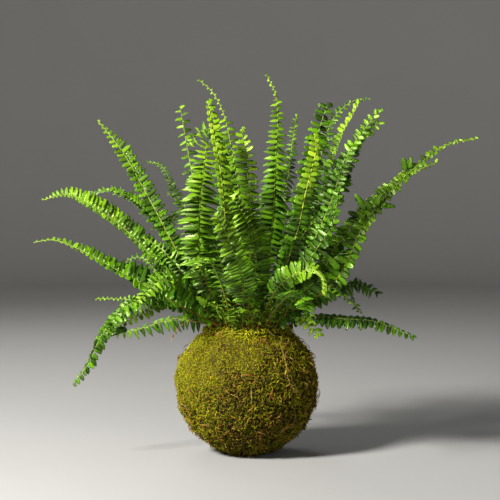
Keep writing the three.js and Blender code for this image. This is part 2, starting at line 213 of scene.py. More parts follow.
def grown_tint():
    group, source, result = new_group("grown tint", "ShaderNodeTree", [
        ("Colour", COLOUR, (0.1, 0.3, 0.03, 1)), ("Light colour", COLOUR, (0.3, 0.5, 0.05, 1)),
        ("Dark colour", COLOUR, (0.03, 0.1, 0.01, 1)), ("Tint", FLOAT, 0.5),
        ("Mottle size", FLOAT, 90.0), ("Mottle", FLOAT, 0.3)], [("Colour", COLOUR)])
    mottle = noise_level(group, object_place(group), out(source, "Mottle size"), 3.0)
    shift = maths(group, "MULTIPLY", maths(group, "SUBTRACT", mottle, 0.5), out(source, "Mottle"))
    level = maths(group, "ADD", out(source, "Tint"), maths(group, "MULTIPLY", shift, 3.0))
    darker = mix_colour(group, ramp(group, level, 0.0, 0.5), out(source, "Dark colour"),
                        out(source, "Colour"))
    lighter = mix_colour(group, ramp(group, level, 0.5, 1.0), darker, out(source, "Light colour"))
    fill(group, result.inputs["Colour"], lighter)
    return group


def dry_speckle():
    group, source, result = new_group("dry speckle", "ShaderNodeTree", [
        ("Colour", COLOUR, (0.1, 0.3, 0.03, 1)), ("Dry colour", COLOUR, (0.3, 0.15, 0.04, 1)),
        ("Size", FLOAT, 400.0), ("Amount", FLOAT, 0.1)], [("Colour", COLOUR)])
    spots = noise_level(group, object_place(group), out(source, "Size"), 2.0)
    edge = maths(group, "SUBTRACT", 0.72, maths(group, "MULTIPLY", out(source, "Amount"), 0.3))
    share = ramp(group, spots, edge, maths(group, "ADD", edge, 0.08))
    fill(group, result.inputs["Colour"], mix_colour(group, share, out(source, "Colour"),
                                                    out(source, "Dry colour")))
    return group


def fine_relief():
    group, source, result = new_group("fine relief", "ShaderNodeTree", [
        ("Size", FLOAT, 600.0), ("Coarse share", FLOAT, 0.4)], [("Height", FLOAT)])
    place = object_place(group)
    fine = noise_level(group, place, out(source, "Size"), 3.0)
    coarse = noise_level(group, place, maths(group, "MULTIPLY", out(source, "Size"), 0.22), 2.0)
    height = add(group, "ShaderNodeMix", {"Factor": out(source, "Coarse share"), "A": fine, "B": coarse})
    fill(group, result.inputs["Height"], out(height))
    return group


TINT = grown_tint()
SPECKLE = dry_speckle()
RELIEF = fine_relief()
print("shared effects:", TINT.name, SPECKLE.name, RELIEF.name)


# %% Material helpers
def new_material(name, roughness, specular):
    material = bpy.data.materials.new(name)
    material.use_nodes = True
    shader = material.node_tree.nodes["Principled BSDF"]
    shader.inputs["Roughness"].default_value = roughness
    shader.inputs["Specular IOR Level"].default_value = specular
    return material, material.node_tree, shader


def attribute(tree, name):
    return out(add(tree, "ShaderNodeAttribute", attribute_name=name), "Fac")


def effect(tree, group, inputs):
    """One of the shared effects, placed in a material."""
    node = tree.nodes.new("ShaderNodeGroup")
    node.node_tree = group
    for name, value in inputs.items():
        fill(tree, node.inputs[name], value)
    return out(node)


def relief(tree, shader, size, depth, strength, more=None):
    """Bump from the fine relief, with another height added to it where one is given."""
    height = effect(tree, RELIEF, {"Size": size})
    if more is not None:
        height = maths(tree, "ADD", height, more)
    bump = add(tree, "ShaderNodeBump", {"Strength": strength, "Distance": depth, "Height": height})
    tree.links.new(out(bump), shader.inputs["Normal"])


# %% [markdown]
# ## Meshes
# What isn't grown by a tree of nodes is worked out point by point. One helper makes the mesh, with a
# number at each point under a name of its own, which a material or a tree can read. The other turns a
# profile round the plant's axis, for the floor and for the crown.

# %% Mesh helpers
def mesh_object(name, points, edges, faces, **attributes):
    mesh = bpy.data.meshes.new(name)
    mesh.from_pydata(points, edges, faces)
    for label, values in attributes.items():
        mesh.attributes.new(label, "FLOAT", "POINT").data.foreach_set("value", values)
    return bpy.data.objects.new(name, mesh)


def lathed(middle_z, profile, around):
    """Points and faces of a skin round the Z axis, from its middle out over (radius, height) rings."""
    points, faces = [(0, 0, middle_z)], []
    for row, (r, z) in enumerate(profile):
        a, b = 1 + (row - 1) * around, 1 + row * around
        for i in range(around):
            turn = 2 * math.pi * i / around
            points.append((r * math.cos(turn), r * math.sin(turn), z))
            j = (i + 1) % around
            faces.append((a + i, b + i, b + j, a + j) if row else (0, b + i, b + j))
    return points, faces


def triangles(piece):
    return sum(len(face.vertices) - 2 for face in piece.data.polygons)


# %% [markdown]
# ### Floor
# The floor is a wide shallow bowl: flat where the plant stands, and curving up all round far outside
# the camera's path. It has no edge or horizon from any side, and it isn't part of the plant.

# %% Floor
FLAT_RADIUS = 2.2
WALL_CURVE = 0.9
WALL_HEIGHT = 3.0
WALL_STEPS = 12
FLOOR_ROUND = 96
PAPER = {"Colour": (0.40, 0.40, 0.395, 1), "Light colour": (0.415, 0.415, 0.41, 1),
         "Dark colour": (0.385, 0.385, 0.38, 1)}


def floor_bowl():
    profile = [(FLAT_RADIUS * share, 0.0) for share in (0.02, 0.1, 0.3, 0.6, 1.0)]
    for step in range(1, WALL_STEPS + 1):
        turn = math.pi / 2 * step / WALL_STEPS
        profile.append((FLAT_RADIUS + WALL_CURVE * math.sin(turn), WALL_CURVE * (1 - math.cos(turn))))
    profile.append((FLAT_RADIUS + WALL_CURVE, WALL_HEIGHT))
    points, faces = lathed(0, profile, FLOOR_ROUND)
    bowl = mesh_object("floor", points, [], faces)
    bowl.data.shade_smooth()
    bpy.context.scene.collection.objects.link(bowl)
    return bowl


def floor_material():
    material, tree, shader = new_material("pale paper", 0.85, 0.2)
    colour = effect(tree, TINT, {**PAPER, "Mottle size": 6.0, "Mottle": 0.3})
    tree.links.new(colour, shader.inputs["Base Color"])
    return material


bowl = floor_bowl()
bowl.data.materials.append(floor_material())
print("floor faces:", len(bowl.data.polygons))

# %% [markdown]
# ### Leaflets and stalks
# A sword fern's leaflet is deep green and a little glossy. Old leaflets low on the frond are darkest,
# and those at the growing tip are a bright yellow-green. Fronds that lie in shadow are painted darker,
# towards a nearly black green, as painted shade. A pale line, the midrib, runs along each, and
# fine veins leave it at a slant. The leaflet's own UV map says where on the leaflet a point is: U runs
# from its foot to its tip and V across it.

# %% Leaflet material
LEAFLET_GREENS = {    # the green of a full-grown leaflet and of a fresh one, for each colour of the tint
    "Colour": ((0.050, 0.165, 0.002, 1), (0.30, 0.52, 0.010, 1)),
    "Light colour": ((0.13, 0.33, 0.004, 1), (0.50, 0.68, 0.03, 1)),
    "Dark colour": ((0.011, 0.042, 0.001, 1), (0.14, 0.30, 0.004, 1)),
}
# nearly black green: an old leaf's colour, and painted shade for fronds whose youth is below 0 because they
# lie in shadow
OLD_AND_SHADED_GREEN = (0.009, 0.042, 0.001, 1)
DRY_SPOT = (0.22, 0.16, 0.02, 1)
MIDRIB_GREEN = (0.32, 0.5, 0.08, 1)
MIDRIB_WIDTH = 0.045      # half of it, as a share of the leaflet's width
VEIN_SLANT = 0.55
VEIN_TURNS = 62.0         # radians of the sine that makes the veins, from foot to tip


def leaflet_material():
    material, tree, shader = new_material("fern leaflet", 0.38, 0.6)
    shader.inputs["Specular Tint"].default_value = (0.9, 1.0, 0.5, 1)
    along = attribute(tree, "along")
    youth = attribute(tree, "youth")
    tint = attribute(tree, "tint")
    tip_growth = maths(tree, "MULTIPLY", maths(tree, "POWER", along, 3.0), 0.35)
    fresh_and_shade = maths(tree, "ADD", tip_growth, youth)
    greens = {label: mix_colour(tree, ramp(tree, fresh_and_shade, 0.0, 1.0), grown_green, fresh_green)
              for label, (grown_green, fresh_green) in LEAFLET_GREENS.items()}
    colour = effect(tree, TINT, {**greens, "Tint": tint, "Mottle size": 130.0, "Mottle": 0.07})
    # Painted shade: below 0 the leaflet darkens towards a nearly black green, for fronds that lie in
    # shadow.
    colour = mix_colour(tree, ramp(tree, fresh_and_shade, -0.5, 0.0, 0.8, 0.0), colour, OLD_AND_SHADED_GREEN)
    colour = effect(tree, SPECKLE, {"Colour": colour, "Dry colour": DRY_SPOT, "Size": 420.0, "Amount": 0.0})
    place = add(tree, "ShaderNodeUVMap", uv_map="leaflet")
    split = add(tree, "ShaderNodeSeparateXYZ", {"Vector": out(place)})
    across = maths(tree, "ABSOLUTE", maths(tree, "SUBTRACT", out(split, "Y"), 0.5))
    midrib = ramp(tree, across, 0.0, MIDRIB_WIDTH, 1.0, 0.0)
    slant = maths(tree, "SUBTRACT", out(split, "X"), maths(tree, "MULTIPLY", across, VEIN_SLANT))
    veins = maths(tree, "SINE", maths(tree, "MULTIPLY", slant, VEIN_TURNS))
    colour = mix_colour(tree, maths(tree, "MULTIPLY", midrib, 0.35), colour, MIDRIB_GREEN)
    tree.links.new(colour, shader.inputs["Base Color"])
    vein_height = maths(tree, "MULTIPLY", veins, 0.12)
    height = maths(tree, "SUBTRACT", vein_height, maths(tree, "MULTIPLY", midrib, 0.6))
    relief(tree, shader, 520.0, 0.0002, 0.6, more=height)
    rough = ramp(tree, tint, 0.0, 1.0, 0.46, 0.28)
    tree.links.new(rough, shader.inputs["Roughness"])
    return material


# %% Stalk material
STALK_FOOT = (0.21, 0.100, 0.010, 1)
STALK_GROWN = (0.30, 0.40, 0.06, 1)
STALK_FRESH = (0.55, 0.62, 0.07, 1)
STALK_SHADE = (0.05, 0.03, 0.01, 1)


def stalk_material():
    material, tree, shader = new_material("fern stalk", 0.5, 0.25)
    along = attribute(tree, "along")
    youth = attribute(tree, "youth")
    upper = mix_colour(tree, ramp(tree, youth, 0.0, 0.6), STALK_GROWN, STALK_FRESH)
    colour = mix_colour(tree, ramp(tree, along, 0.18, 0.55), STALK_FOOT, upper)
    dark = mix_colour(tree, 0.6, colour, STALK_SHADE)
    colour = effect(tree, TINT, {"Colour": colour, "Light colour": upper, "Dark colour": dark,
                                 "Tint": 0.45, "Mottle size": 300.0, "Mottle": 0.25})
    tree.links.new(colour, shader.inputs["Base Color"])
    relief(tree, shader, 1500.0, 0.0001, 0.5)
    return material


LEAFLET_FINISH = leaflet_material()
STALK_FINISH = stalk_material()
print("fern finishes:", LEAFLET_FINISH.name, STALK_FINISH.name)

# %% [markdown]
# ## The leaflets
# A leaflet is a thin closed blade: the edge nearer the frond's tip swells into a small ear beside the
# stalk, the outline bends like a sickle, the margin waves a little, and the blade hangs towards its
# tip. Five families cover the plant: long narrow ones, pointed ones, blunt ones bent like a sickle,
# short round ones, and ones whose tips have curled. Each has three variants for each side of the
# stalk, one unit long and one unit wide, with a few dozen faces, because a plant carries thousands.

# %% Leaflet shapes
STEPS_ALONG = [0.0, 0.08, 0.25, 0.45, 0.65, 0.85, 1.0]
STEPS_ACROSS = (-1.0, -0.5, 0.0, 0.5, 1.0)
THICKNESS = 0.012     # half thickness over the midrib, for one unit of length
FOOT_LENGTH = 0.12    # the blade widens from half to full over this length
EAR_PLACE = 0.08      # how far the ear's middle is from the foot, and how far it spreads
END_CURVE = 1.9       # how late the blade narrows on the way to its tip
HANG_CURVE = 2.2      # and how late it hangs
WAVE_TURNS = 17       # radians of the margin's wave, from foot to tip
WAVE_SHIFT = 2.2      # how far the wave on one edge is ahead of the midrib's
FAMILIES = {          # how blunt the end is, the widest place, and how much the ear adds to a half width
    "long": dict(blunt=0.95, widest=0.20, ear=0.26),
    "pointed": dict(blunt=1.15, widest=0.14, ear=0.22),
    "sickle": dict(blunt=0.55, widest=0.30, ear=0.12),
    "round": dict(blunt=0.60, widest=0.38, ear=0.12),
    "curled": dict(blunt=0.9, widest=0.25, ear=0.2),
}
VARIANTS = {          # bend in the plane, hang, cup, wave of the margin
    "long": [(-0.14, 0.28, 0.50, 0.012), (-0.03, 0.44, 0.70, 0.016), (0.08, 0.16, 0.30, 0.014)],
    "pointed": [(-0.16, 0.26, 0.50, 0.012), (-0.05, 0.42, 0.70, 0.014), (0.08, 0.14, 0.30, 0.016)],
    "sickle": [(-0.22, 0.20, 0.25, 0.010), (-0.14, 0.30, 0.35, 0.016), (-0.30, 0.12, 0.10, 0.012)],
    "round": [(-0.06, 0.16, 0.30, 0.020), (0.02, 0.26, 0.45, 0.026), (0.05, 0.05, -0.20, 0.022)],
    "curled": [(-0.15, 0.55, 0.50, 0.020), (0.05, 0.80, 0.70, 0.026), (0.12, 0.35, 0.30, 0.030)],
}


def half_width(x, blunt, widest, ear, side):
    """Half width of a leaflet at x along it, in units of its full width."""
    past = max(0.0, (x - widest) / (1 - widest))
    body = 0.5 * max(0.0, 1 - past ** END_CURVE) ** blunt
    foot = min(1.0, 0.5 + 0.5 * x / FOOT_LENGTH)
    bump = ear * math.exp(-((x - EAR_PLACE) / EAR_PLACE) ** 2) if side > 0 else 0.0
    return body * foot + bump


def leaflet(name, family, bend, hang, cup, wave, side):
    """A leaflet as a mesh object. side is 1 with the ear towards +Y, and -1 is its mirror image."""
    points, coordinates, rows, under = [], [], [], []
    for x in STEPS_ALONG:
        middle, drop = bend * x * x, -hang * x ** HANG_CURVE
        row = []
        for v in STEPS_ACROSS:
            if x == 1.0 and v:
                continue
            across = v * half_width(x, side=v, **FAMILIES[family])
            lift = cup * across ** 2 + wave * abs(v) ** 3 * math.sin(WAVE_TURNS * x + WAVE_SHIFT * v)
            lift += THICKNESS if abs(v) < 1 else 0
            row.append(len(points))
            points.append((x, side * (middle + across), drop + lift))
            coordinates.append((x, 0.5 + 0.5 * v))
        rows.append(row)
        under.append(row[0])
        if x < 1.0:
            under[-1] = len(points)
            points.append((x, side * middle, drop - THICKNESS))
            coordinates.append((x, 0.5))
    faces = [rows[0] + [under[0]]]
    for i in range(len(rows) - 1):
        near, far = rows[i], rows[i + 1]
        a, b = under[i], under[i + 1]
        if len(far) == 1:
            faces += [[near[k], far[0], near[k + 1]] for k in range(4)]
            faces += [[a, far[0], near[0]], [near[4], far[0], a]]
        else:
            faces += [[near[k], far[k], far[k + 1], near[k + 1]] for k in range(4)]
            faces += [[a, b, far[0], near[0]], [near[4], far[4], b, a]]
    if side < 0:
        faces = [face[::-1] for face in faces]
    blade = mesh_object(name, points, [], faces)
    uv = blade.data.uv_layers.new(name="leaflet")
    for loop in blade.data.loops:
        uv.data[loop.index].uv = coordinates[loop.vertex_index]
    return blade


LEAFLETS = {}
for family, variants in VARIANTS.items():
    LEAFLETS[family] = bpy.data.collections.new(f"leaflets_{family}")
    for side_index, side in enumerate((1, -1)):
        for variant_index, variant in enumerate(variants):
            label = f"{family}_{side_index}_{variant_index}"
            LEAFLETS[family].objects.link(leaflet(label, family, *variant, side))
KINDS_A_SIDE = 3

# %% [markdown]
# ## The frond tree
# A frond repeats one leaflet along a curved stalk, so it is a job for Geometry Nodes. The tree takes
# the stalk as a curve, sets points along its leafy part at half the leaflet spacing, and puts leaflets
# on them to the left and the right by turns. Their length is a number that comes with the stalk's
# points: short at the foot, full in the middle, tiny at the growing tip. A seed varies each a little,
# and a short leaflet is made narrower too. The stalk itself is the same curve with a round section.
# The tree ends in Realize Instances and Set Material.

# %% Frond tree inputs
FROND_INPUTS = [
    ("Geometry", GEOMETRY, None), ("Face", VECTOR, (0, -1, 0)), ("Fold", FLOAT, 0.1),
    ("Bare share", FLOAT, 0.2), ("Right share", FLOAT, 1.0), ("Left share", FLOAT, 1.0),
    ("Leaflet width", FLOAT, 0.005), ("Spacing", FLOAT, 0.0056), ("Sweep", FLOAT, 0.1),
    ("Tilt", FLOAT, 0.0), ("Looseness", FLOAT, 1.0), ("Youth and shade", FLOAT, 0.0), ("Fresh from", FLOAT, -1.0),
    ("Stalk radius", FLOAT, 0.0007), ("Seed", WHOLE, 0), ("Leaflets", COLLECTION, None),
    ("Leaflet finish", MATERIAL, None), ("Stalk finish", MATERIAL, None)]


def random_value(tree, low, high, seed, draw=0.0, kind="FLOAT"):
    """A value between low and high at each point. draw keeps one such choice apart from the others."""
    if draw:
        seed = maths(tree, "ADD", seed, draw)
    inputs = {"Min": low, "Max": high, "Seed": seed}
    return out(add(tree, "FunctionNodeRandomValue", inputs, data_type=kind))


def store(tree, geometry, name, value):
    inputs = {"Geometry": geometry, "Name": name, "Value": value}
    return out(add(tree, "GeometryNodeStoreNamedAttribute", inputs, data_type="FLOAT", domain="POINT"))


def stored(tree, name):
    """The number that was stored at each point under this name."""
    return out(add(tree, "GeometryNodeInputNamedAttribute", {"Name": name}, data_type="FLOAT"), "Attribute")


def profile_curve(tree, factor, points):
    node = add(tree, "ShaderNodeFloatCurve", {"Value": factor})
    curve = node.mapping.curves[0]
    for place, level in points[1:-1]:
        curve.points.new(place, level)
    for point, (place, level) in zip(curve.points, points):
        point.location = (place, level)
    node.mapping.update()
    return out(node)


# %% What the trees have in common
def aimed(tree, heading, up, angles):
    """A turn that points X along heading and Z towards up, and then turns by angles of its own."""
    turn = out(add(tree, "FunctionNodeAxesToRotation", {"Primary Axis": heading, "Secondary Axis": up},
                   primary_axis="X", secondary_axis="Z"))
    more = out(add(tree, "FunctionNodeEulerToRotation", {"Euler": angles}))
    return out(add(tree, "FunctionNodeRotateRotation", {"Rotation": turn, "Rotate By": more},
                   rotation_space="LOCAL"))


def copies(tree, points, collection, pick, turn, size, chosen=True):
    """A copy of one of a collection's shapes on every chosen point. pick is the shape's number."""
    shapes = out(add(tree, "GeometryNodeCollectionInfo", {
        "Collection": collection, "Separate Children": True, "Reset Children": True}))
    return out(add(tree, "GeometryNodeInstanceOnPoints", {
        "Points": points, "Selection": chosen, "Instance": shapes, "Pick Instance": True,
        "Instance Index": pick, "Rotation": turn, "Scale": size}))


def tube(tree, line, sides, radius):
    """A closed tube along a line."""
    ring = out(add(tree, "GeometryNodeCurvePrimitiveCircle", {"Resolution": sides, "Radius": 1.0},
                   mode="RADIUS"))
    return out(add(tree, "GeometryNodeCurveToMesh", {
        "Curve": line, "Profile Curve": ring, "Fill Caps": True, "Scale": radius}))


def joined(tree, *parts):
    """The parts as one smooth mesh, with every copy realized."""
    both = tree.nodes.new("GeometryNodeJoinGeometry")
    for part in parts:
        tree.links.new(part, both.inputs[0])
    smooth = out(add(tree, "GeometryNodeSetShadeSmooth", {"Geometry": out(both)}))
    return out(add(tree, "GeometryNodeRealizeInstances", {"Geometry": smooth}))


def painted(tree, geometry, material, chosen=True):
    inputs = {"Geometry": geometry, "Selection": chosen, "Material": material}
    return out(add(tree, "GeometryNodeSetMaterial", inputs))


# %% Build the frond tree
STALK_SIDES = 6
STALK_TAPER = [(0, 1), (0.3, 0.85), (0.7, 0.55), (1, 0.35)]
TIP_SWEEP = [(0, 0), (0.5, 0.04), (0.85, 0.2), (1, 0.9)]          # leaflets near the tip point ahead
WOBBLE = [(-0.30, -0.16, -0.16), (0.30, 0.26, 0.16)]              # radians, at a looseness of 1
LENGTH_VARIES = [-0.14, 0.09]
NARROWEST = 0.42                                                  # share of its width that a bead has


def frond_tree():
    tree, given, result = new_group("frond", "GeometryNodeTree", FROND_INPUTS, [("Geometry", GEOMETRY)])
    seed = out(given, "Seed")
    line = out(add(tree, "GeometryNodeMeshToCurve", {"Mesh": out(given, "Geometry")}))
    leafy = out(add(tree, "GeometryNodeTrimCurve", {"Curve": line, "Start": out(given, "Bare share")},
                    mode="FACTOR"))
    half_spacing = maths(tree, "MULTIPLY", out(given, "Spacing"), 0.5)
    row = out(add(tree, "GeometryNodeResampleCurve", {"Curve": leafy, "Length": half_spacing},
                  mode="LENGTH"))
    along = out(add(tree, "GeometryNodeSplineParameter"), "Factor")
    row = store(tree, row, "along", along)
    row = store(tree, row, "tint", random_value(tree, 0.0, 1.0, seed))
    upward = ramp(tree, maths(tree, "SUBTRACT", along, out(given, "Fresh from")), 0.0, 0.3, -0.35, 1.0)
    row = store(tree, row, "youth", maths(tree, "MULTIPLY", out(given, "Youth and shade"), upward))

    tangent = out(add(tree, "GeometryNodeInputTangent"))
    face = out(given, "Face")
    lean = vectors(tree, "SCALE", tangent, vectors(tree, "DOT_PRODUCT", tangent, face))
    up = vectors(tree, "NORMALIZE", vectors(tree, "SUBTRACT", face, lean))
    side = vectors(tree, "CROSS_PRODUCT", tangent, up)
    index = out(add(tree, "GeometryNodeInputIndex"))
    odd = maths(tree, "MODULO", index, 2.0)
    sign = maths(tree, "SUBTRACT", 1.0, maths(tree, "MULTIPLY", odd, 2.0))
    sweep = profile_curve(tree, along, TIP_SWEEP)
    sweep = maths(tree, "ADD", sweep, out(given, "Sweep"))
    reach = vectors(tree, "ADD", vectors(tree, "SCALE", side, sign), vectors(tree, "SCALE", tangent, sweep))
    reach = vectors(tree, "ADD", reach, vectors(tree, "SCALE", up, out(given, "Fold")))
    loose = out(given, "Looseness")
    wobble = random_value(tree, *WOBBLE, seed, 11.0, "FLOAT_VECTOR")
    tilt = maths(tree, "MULTIPLY", out(given, "Tilt"), maths(tree, "MULTIPLY", sign, -1.0))
    tilt = out(add(tree, "ShaderNodeCombineXYZ", {"X": tilt}))
    turn = aimed(tree, reach, up, vectors(tree, "ADD", vectors(tree, "SCALE", wobble, loose), tilt))

    full = stored(tree, "leaflet")
    vary = random_value(tree, *LENGTH_VARIES, seed, 5.0)
    vary = maths(tree, "ADD", 1.0, maths(tree, "MULTIPLY", vary, loose))
    row_share = add(tree, "ShaderNodeMix", {"Factor": odd, "A": out(given, "Right share"),
                                            "B": out(given, "Left share")})
    length = maths(tree, "MULTIPLY", maths(tree, "MULTIPLY", full, out(row_share)), vary)
    widest = out(given, "Leaflet width")
    narrow = ramp(tree, maths(tree, "DIVIDE", full, widest), 0.5, 2.6, NARROWEST, 1.0)
    width = maths(tree, "MULTIPLY", widest, narrow)
    size = out(add(tree, "ShaderNodeCombineXYZ", {"X": length, "Y": width, "Z": length}))
    kind = random_value(tree, 0, KINDS_A_SIDE - 1, seed, 3.0, "INT")
    pick = maths(tree, "ADD", kind, maths(tree, "MULTIPLY", odd, float(KINDS_A_SIDE)))
    blades = copies(tree, row, out(given, "Leaflets"), pick, turn, size)

    stalk = store(tree, line, "along", along)
    stalk = store(tree, stalk, "youth", out(given, "Youth and shade"))
    stalk = store(tree, stalk, "stalk", 1.0)
    taper = profile_curve(tree, along, STALK_TAPER)
    stalk = tube(tree, stalk, STALK_SIDES, maths(tree, "MULTIPLY", out(given, "Stalk radius"), taper))

    green = painted(tree, joined(tree, blades, stalk), out(given, "Leaflet finish"))
    on_stalk = maths(tree, "GREATER_THAN", stored(tree, "stalk"), 0.5)
    fill(tree, result.inputs["Geometry"], painted(tree, green, out(given, "Stalk finish"), on_stalk))
    return tree


FROND_TREE = frond_tree()
print("frond tree nodes:", len(FROND_TREE.nodes))


# %% Turning a modifier's result into a piece
def grown(name, source, tree, inputs):
    """The mesh that a Geometry Nodes tree makes from a source object, as a plain piece."""
    bpy.context.scene.collection.objects.link(source)
    modifier = source.modifiers.new("grow", "NODES")
    modifier.node_group = tree
    sockets = {item.name: item.identifier for item in tree.interface.items_tree if item.in_out == "INPUT"}
    for label, value in inputs.items():
        modifier[sockets[label]] = value
    depsgraph = bpy.context.evaluated_depsgraph_get()
    mesh = bpy.data.meshes.new_from_object(source.evaluated_get(depsgraph), depsgraph=depsgraph)
    source.modifiers.remove(modifier)
    bpy.data.objects.remove(source)
    mesh.name = name
    piece = bpy.data.objects.new(name, mesh)
    bpy.context.scene.collection.objects.link(piece)
    return piece


PLACED = []


def place_piece(piece, slot, *nodes):
    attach(piece, "root")
    if nodes:
        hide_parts(*nodes)
    PLACED.append(piece)


# %% [markdown]
# ## Where the fronds grow
# The stalks' routes are the frame's own, in millimetres: each leaves the crown at its root and passes
# through a few points to its tip. Thirty-five were placed one by one. The others stand in three rings,
# worked out from a bearing, a reach and two heights. The Catmull-Rom curve between the points is the
# same one that the frame's solids follow, so leaflets and solids share their stalks.
# Beside the route, a row says how the leaflets run along it: *pinna* is the longest, *foot* the share
# of it that the lowest have, *taper* where they start to shorten, *tip* what share is left at the end,
# *fall* how late they shorten on the way, and *thin* the share of the blade that is still an unopened
# string of beads. *left* and *right* shorten one of the two rows.

# %% Routes
CROWN_RADIUS = 39.7
CROWN_TOP_Z = 130.0
CROWN_RIM_Z = 119.0
FOOT_CLEARANCE = 0.7
BEAD = 2.4                 # leaflets that haven't opened

LEFT_FRONDS = [
    dict(root=(-25, 10), via=[(-62, 13, 184), (-96, 25, 246), (-121, 28, 290), (-145, 30, 320)],
         face=(0.2, -1, 0.5), fold=0.2, bare=0.22, pinna=13, taper=0.5, tip=0.35, thin=0.05, left=0.8),
    dict(root=(-28, -9), via=[(-73, -22, 172), (-110, -30, 213), (-146, -38, 240), (-169, -40, 250),
                              (-190, -40, 245)],
         face=(0, -0.4, 1), fold=0.9, bare=0.22, pinna=14, taper=0.7, tip=0.35, thin=0.05),
    dict(root=(-22, 19), via=[(-66, 34, 189), (-102, 46, 233), (-134, 50, 251), (-159, 52, 247)],
         face=(0, -0.4, 1), fold=0.6, bare=0.25, pinna=12, taper=0.7, tip=0.5),
    dict(root=(-15, 26), via=[(-51, 55, 203), (-73, 78, 251), (-87, 85, 277), (-101, 85, 281)],
         face=(0, -1, 0.3), fold=0.2, bare=0.3, pinna=7, taper=0.4, tip=0.4, thin=0.3),
    dict(root=(-22, -25), via=[(-67, -42, 148), (-95, -50, 166), (-122, -54, 181), (-146, -55, 195),
                               (-179, -55, 208), (-197, -54, 206)],
         face=(0, -0.7, 0.9), fold=0.4, bare=0.16, pinna=20, foot=0.8, taper=0.45, tip=0.25, thin=0.1,
         fall=0.6, left=0.5),
    dict(root=(-30, -17), via=[(-78, -16, 153), (-114, -28, 144), (-136, -34, 119), (-149, -38, 91),
                               (-162, -40, 73)],
         face=(0.5, -0.5, 0.8), fold=0.3, bare=0.2, pinna=15, foot=0.7, taper=0.3, tip=0.3, right=0.4),
    dict(root=(-34, -3), via=[(-75, -6, 145), (-94, -14, 138), (-114, -20, 129), (-133, -22, 120)],
         face=(0, -1, 0.5), fold=0.1, bare=0.2, pinna=11, foot=0.7, taper=0.4, tip=0.4, left=0.7),
    dict(root=(-33, 7), via=[(-71, 24, 127), (-105, 30, 117), (-140, 30, 110)],
         face=(0, -1, 0.7), fold=-0.3, bare=0.25, pinna=14, foot=0.8, taper=0.35, tip=0.3, thin=0.1,
         right=0.65),
    dict(root=(-29, 15), via=[(-72, 50, 141), (-113, 74, 142), (-153, 85, 142)],
         face=(0, -0.5, 1), fold=0.2, bare=0.3, pinna=8, taper=0.4, tip=0.4, thin=0.25),
]

UPRIGHT_FRONDS = [
    dict(root=(-17, 11), via=[(-46, 36, 224), (-56, 46, 278), (-62, 50, 311), (-66, 50, 334)],
         face=(0, -1, 0.1), fold=0.1, bare=0.3, pinna=10, taper=0.5, tip=0.7),
    dict(root=(-11, 1), via=[(-18, 0, 234), (-24, -2, 292), (-31, -4, 310), (-42, -6, 311), (-54, -8, 299)],
         face=(0, -1, 0.2), fold=0.2, bare=0.3, pinna=12, taper=0.6, tip=0.6),
    dict(root=(-20, -18), via=[(-38, -44, 168), (-44, -57, 199), (-43, -66, 245), (-40, -67, 273),
                               (-37, -64, 296)],
         face=(0.1, -1, 0.1), fold=0.05, bare=0.18, pinna=21, taper=0.5, tip=0.4),
    dict(root=(-3, -29), via=[(-3, -52, 154), (-7, -82, 183), (-16, -104, 210), (-27, -118, 232)],
         face=(0, -0.9, 0.5), fold=0.1, bare=0.2, pinna=16, taper=0.5, tip=0.4),
    dict(root=(8, -22), via=[(8, -44, 164), (7, -66, 199), (0, -80, 226), (-12, -84, 246)],
         face=(0.2, -1, 0.3), fold=0.1, bare=0.22, pinna=18, taper=0.6, tip=0.35),
    dict(root=(-7, -12), via=[(-7, -16, 244), (-13, -16, 284), (-22, -14, 326), (-33, -12, 347),
                              (-45, -10, 358)],
         face=(0.1, -1, 0.2), fold=0.15, bare=0.25, pinna=14, taper=0.3, tip=0.45, thin=0.25),
    dict(root=(-14, -9), via=[(-21, -34, 235), (-25, -38, 274), (-30, -38, 303), (-36, -36, 334)],
         face=(0.4, -1, 0.1), fold=0.2, bare=0.25, pinna=12, taper=0.6, tip=0.65, left=0.4, young=True),
    dict(root=(0, 9), via=[(1, 22, 244), (0, 22, 284), (-5, 20, 309)],
         face=(0, -1, 0.2), fold=0.2, bare=0.28, pinna=12, taper=0.5, tip=0.6),
    dict(root=(9, -9), via=[(24, -24, 221), (27, -26, 284), (29, -24, 323), (27, -22, 344), (19, -20, 362)],
         face=(0.1, -1, 0.2), fold=0.1, bare=0.22, pinna=16, taper=0.3, tip=0.35, thin=0.14),
    dict(root=(11, 11), via=[(38, 38, 253), (45, 46, 302), (49, 45, 326)],
         face=(0, -1, 0.2), fold=0.2, bare=0.28, pinna=10, taper=0.3, tip=0.35),
    dict(root=(18, -6), via=[(53, -22, 235), (65, -22, 292), (69, -20, 313), (76, -18, 334)],
         face=(0.3, -1, 0.2), fold=0.1, bare=0.22, pinna=15, taper=0.6, tip=0.6, right=0.8),
    dict(root=(16, -19), via=[(46, -46, 212), (55, -54, 254), (64, -52, 292), (63, -50, 304)],
         face=(0.3, -1, 0), fold=0.15, bare=0.22, pinna=12, taper=0.3, tip=0.5, right=0.8, young=True),
]

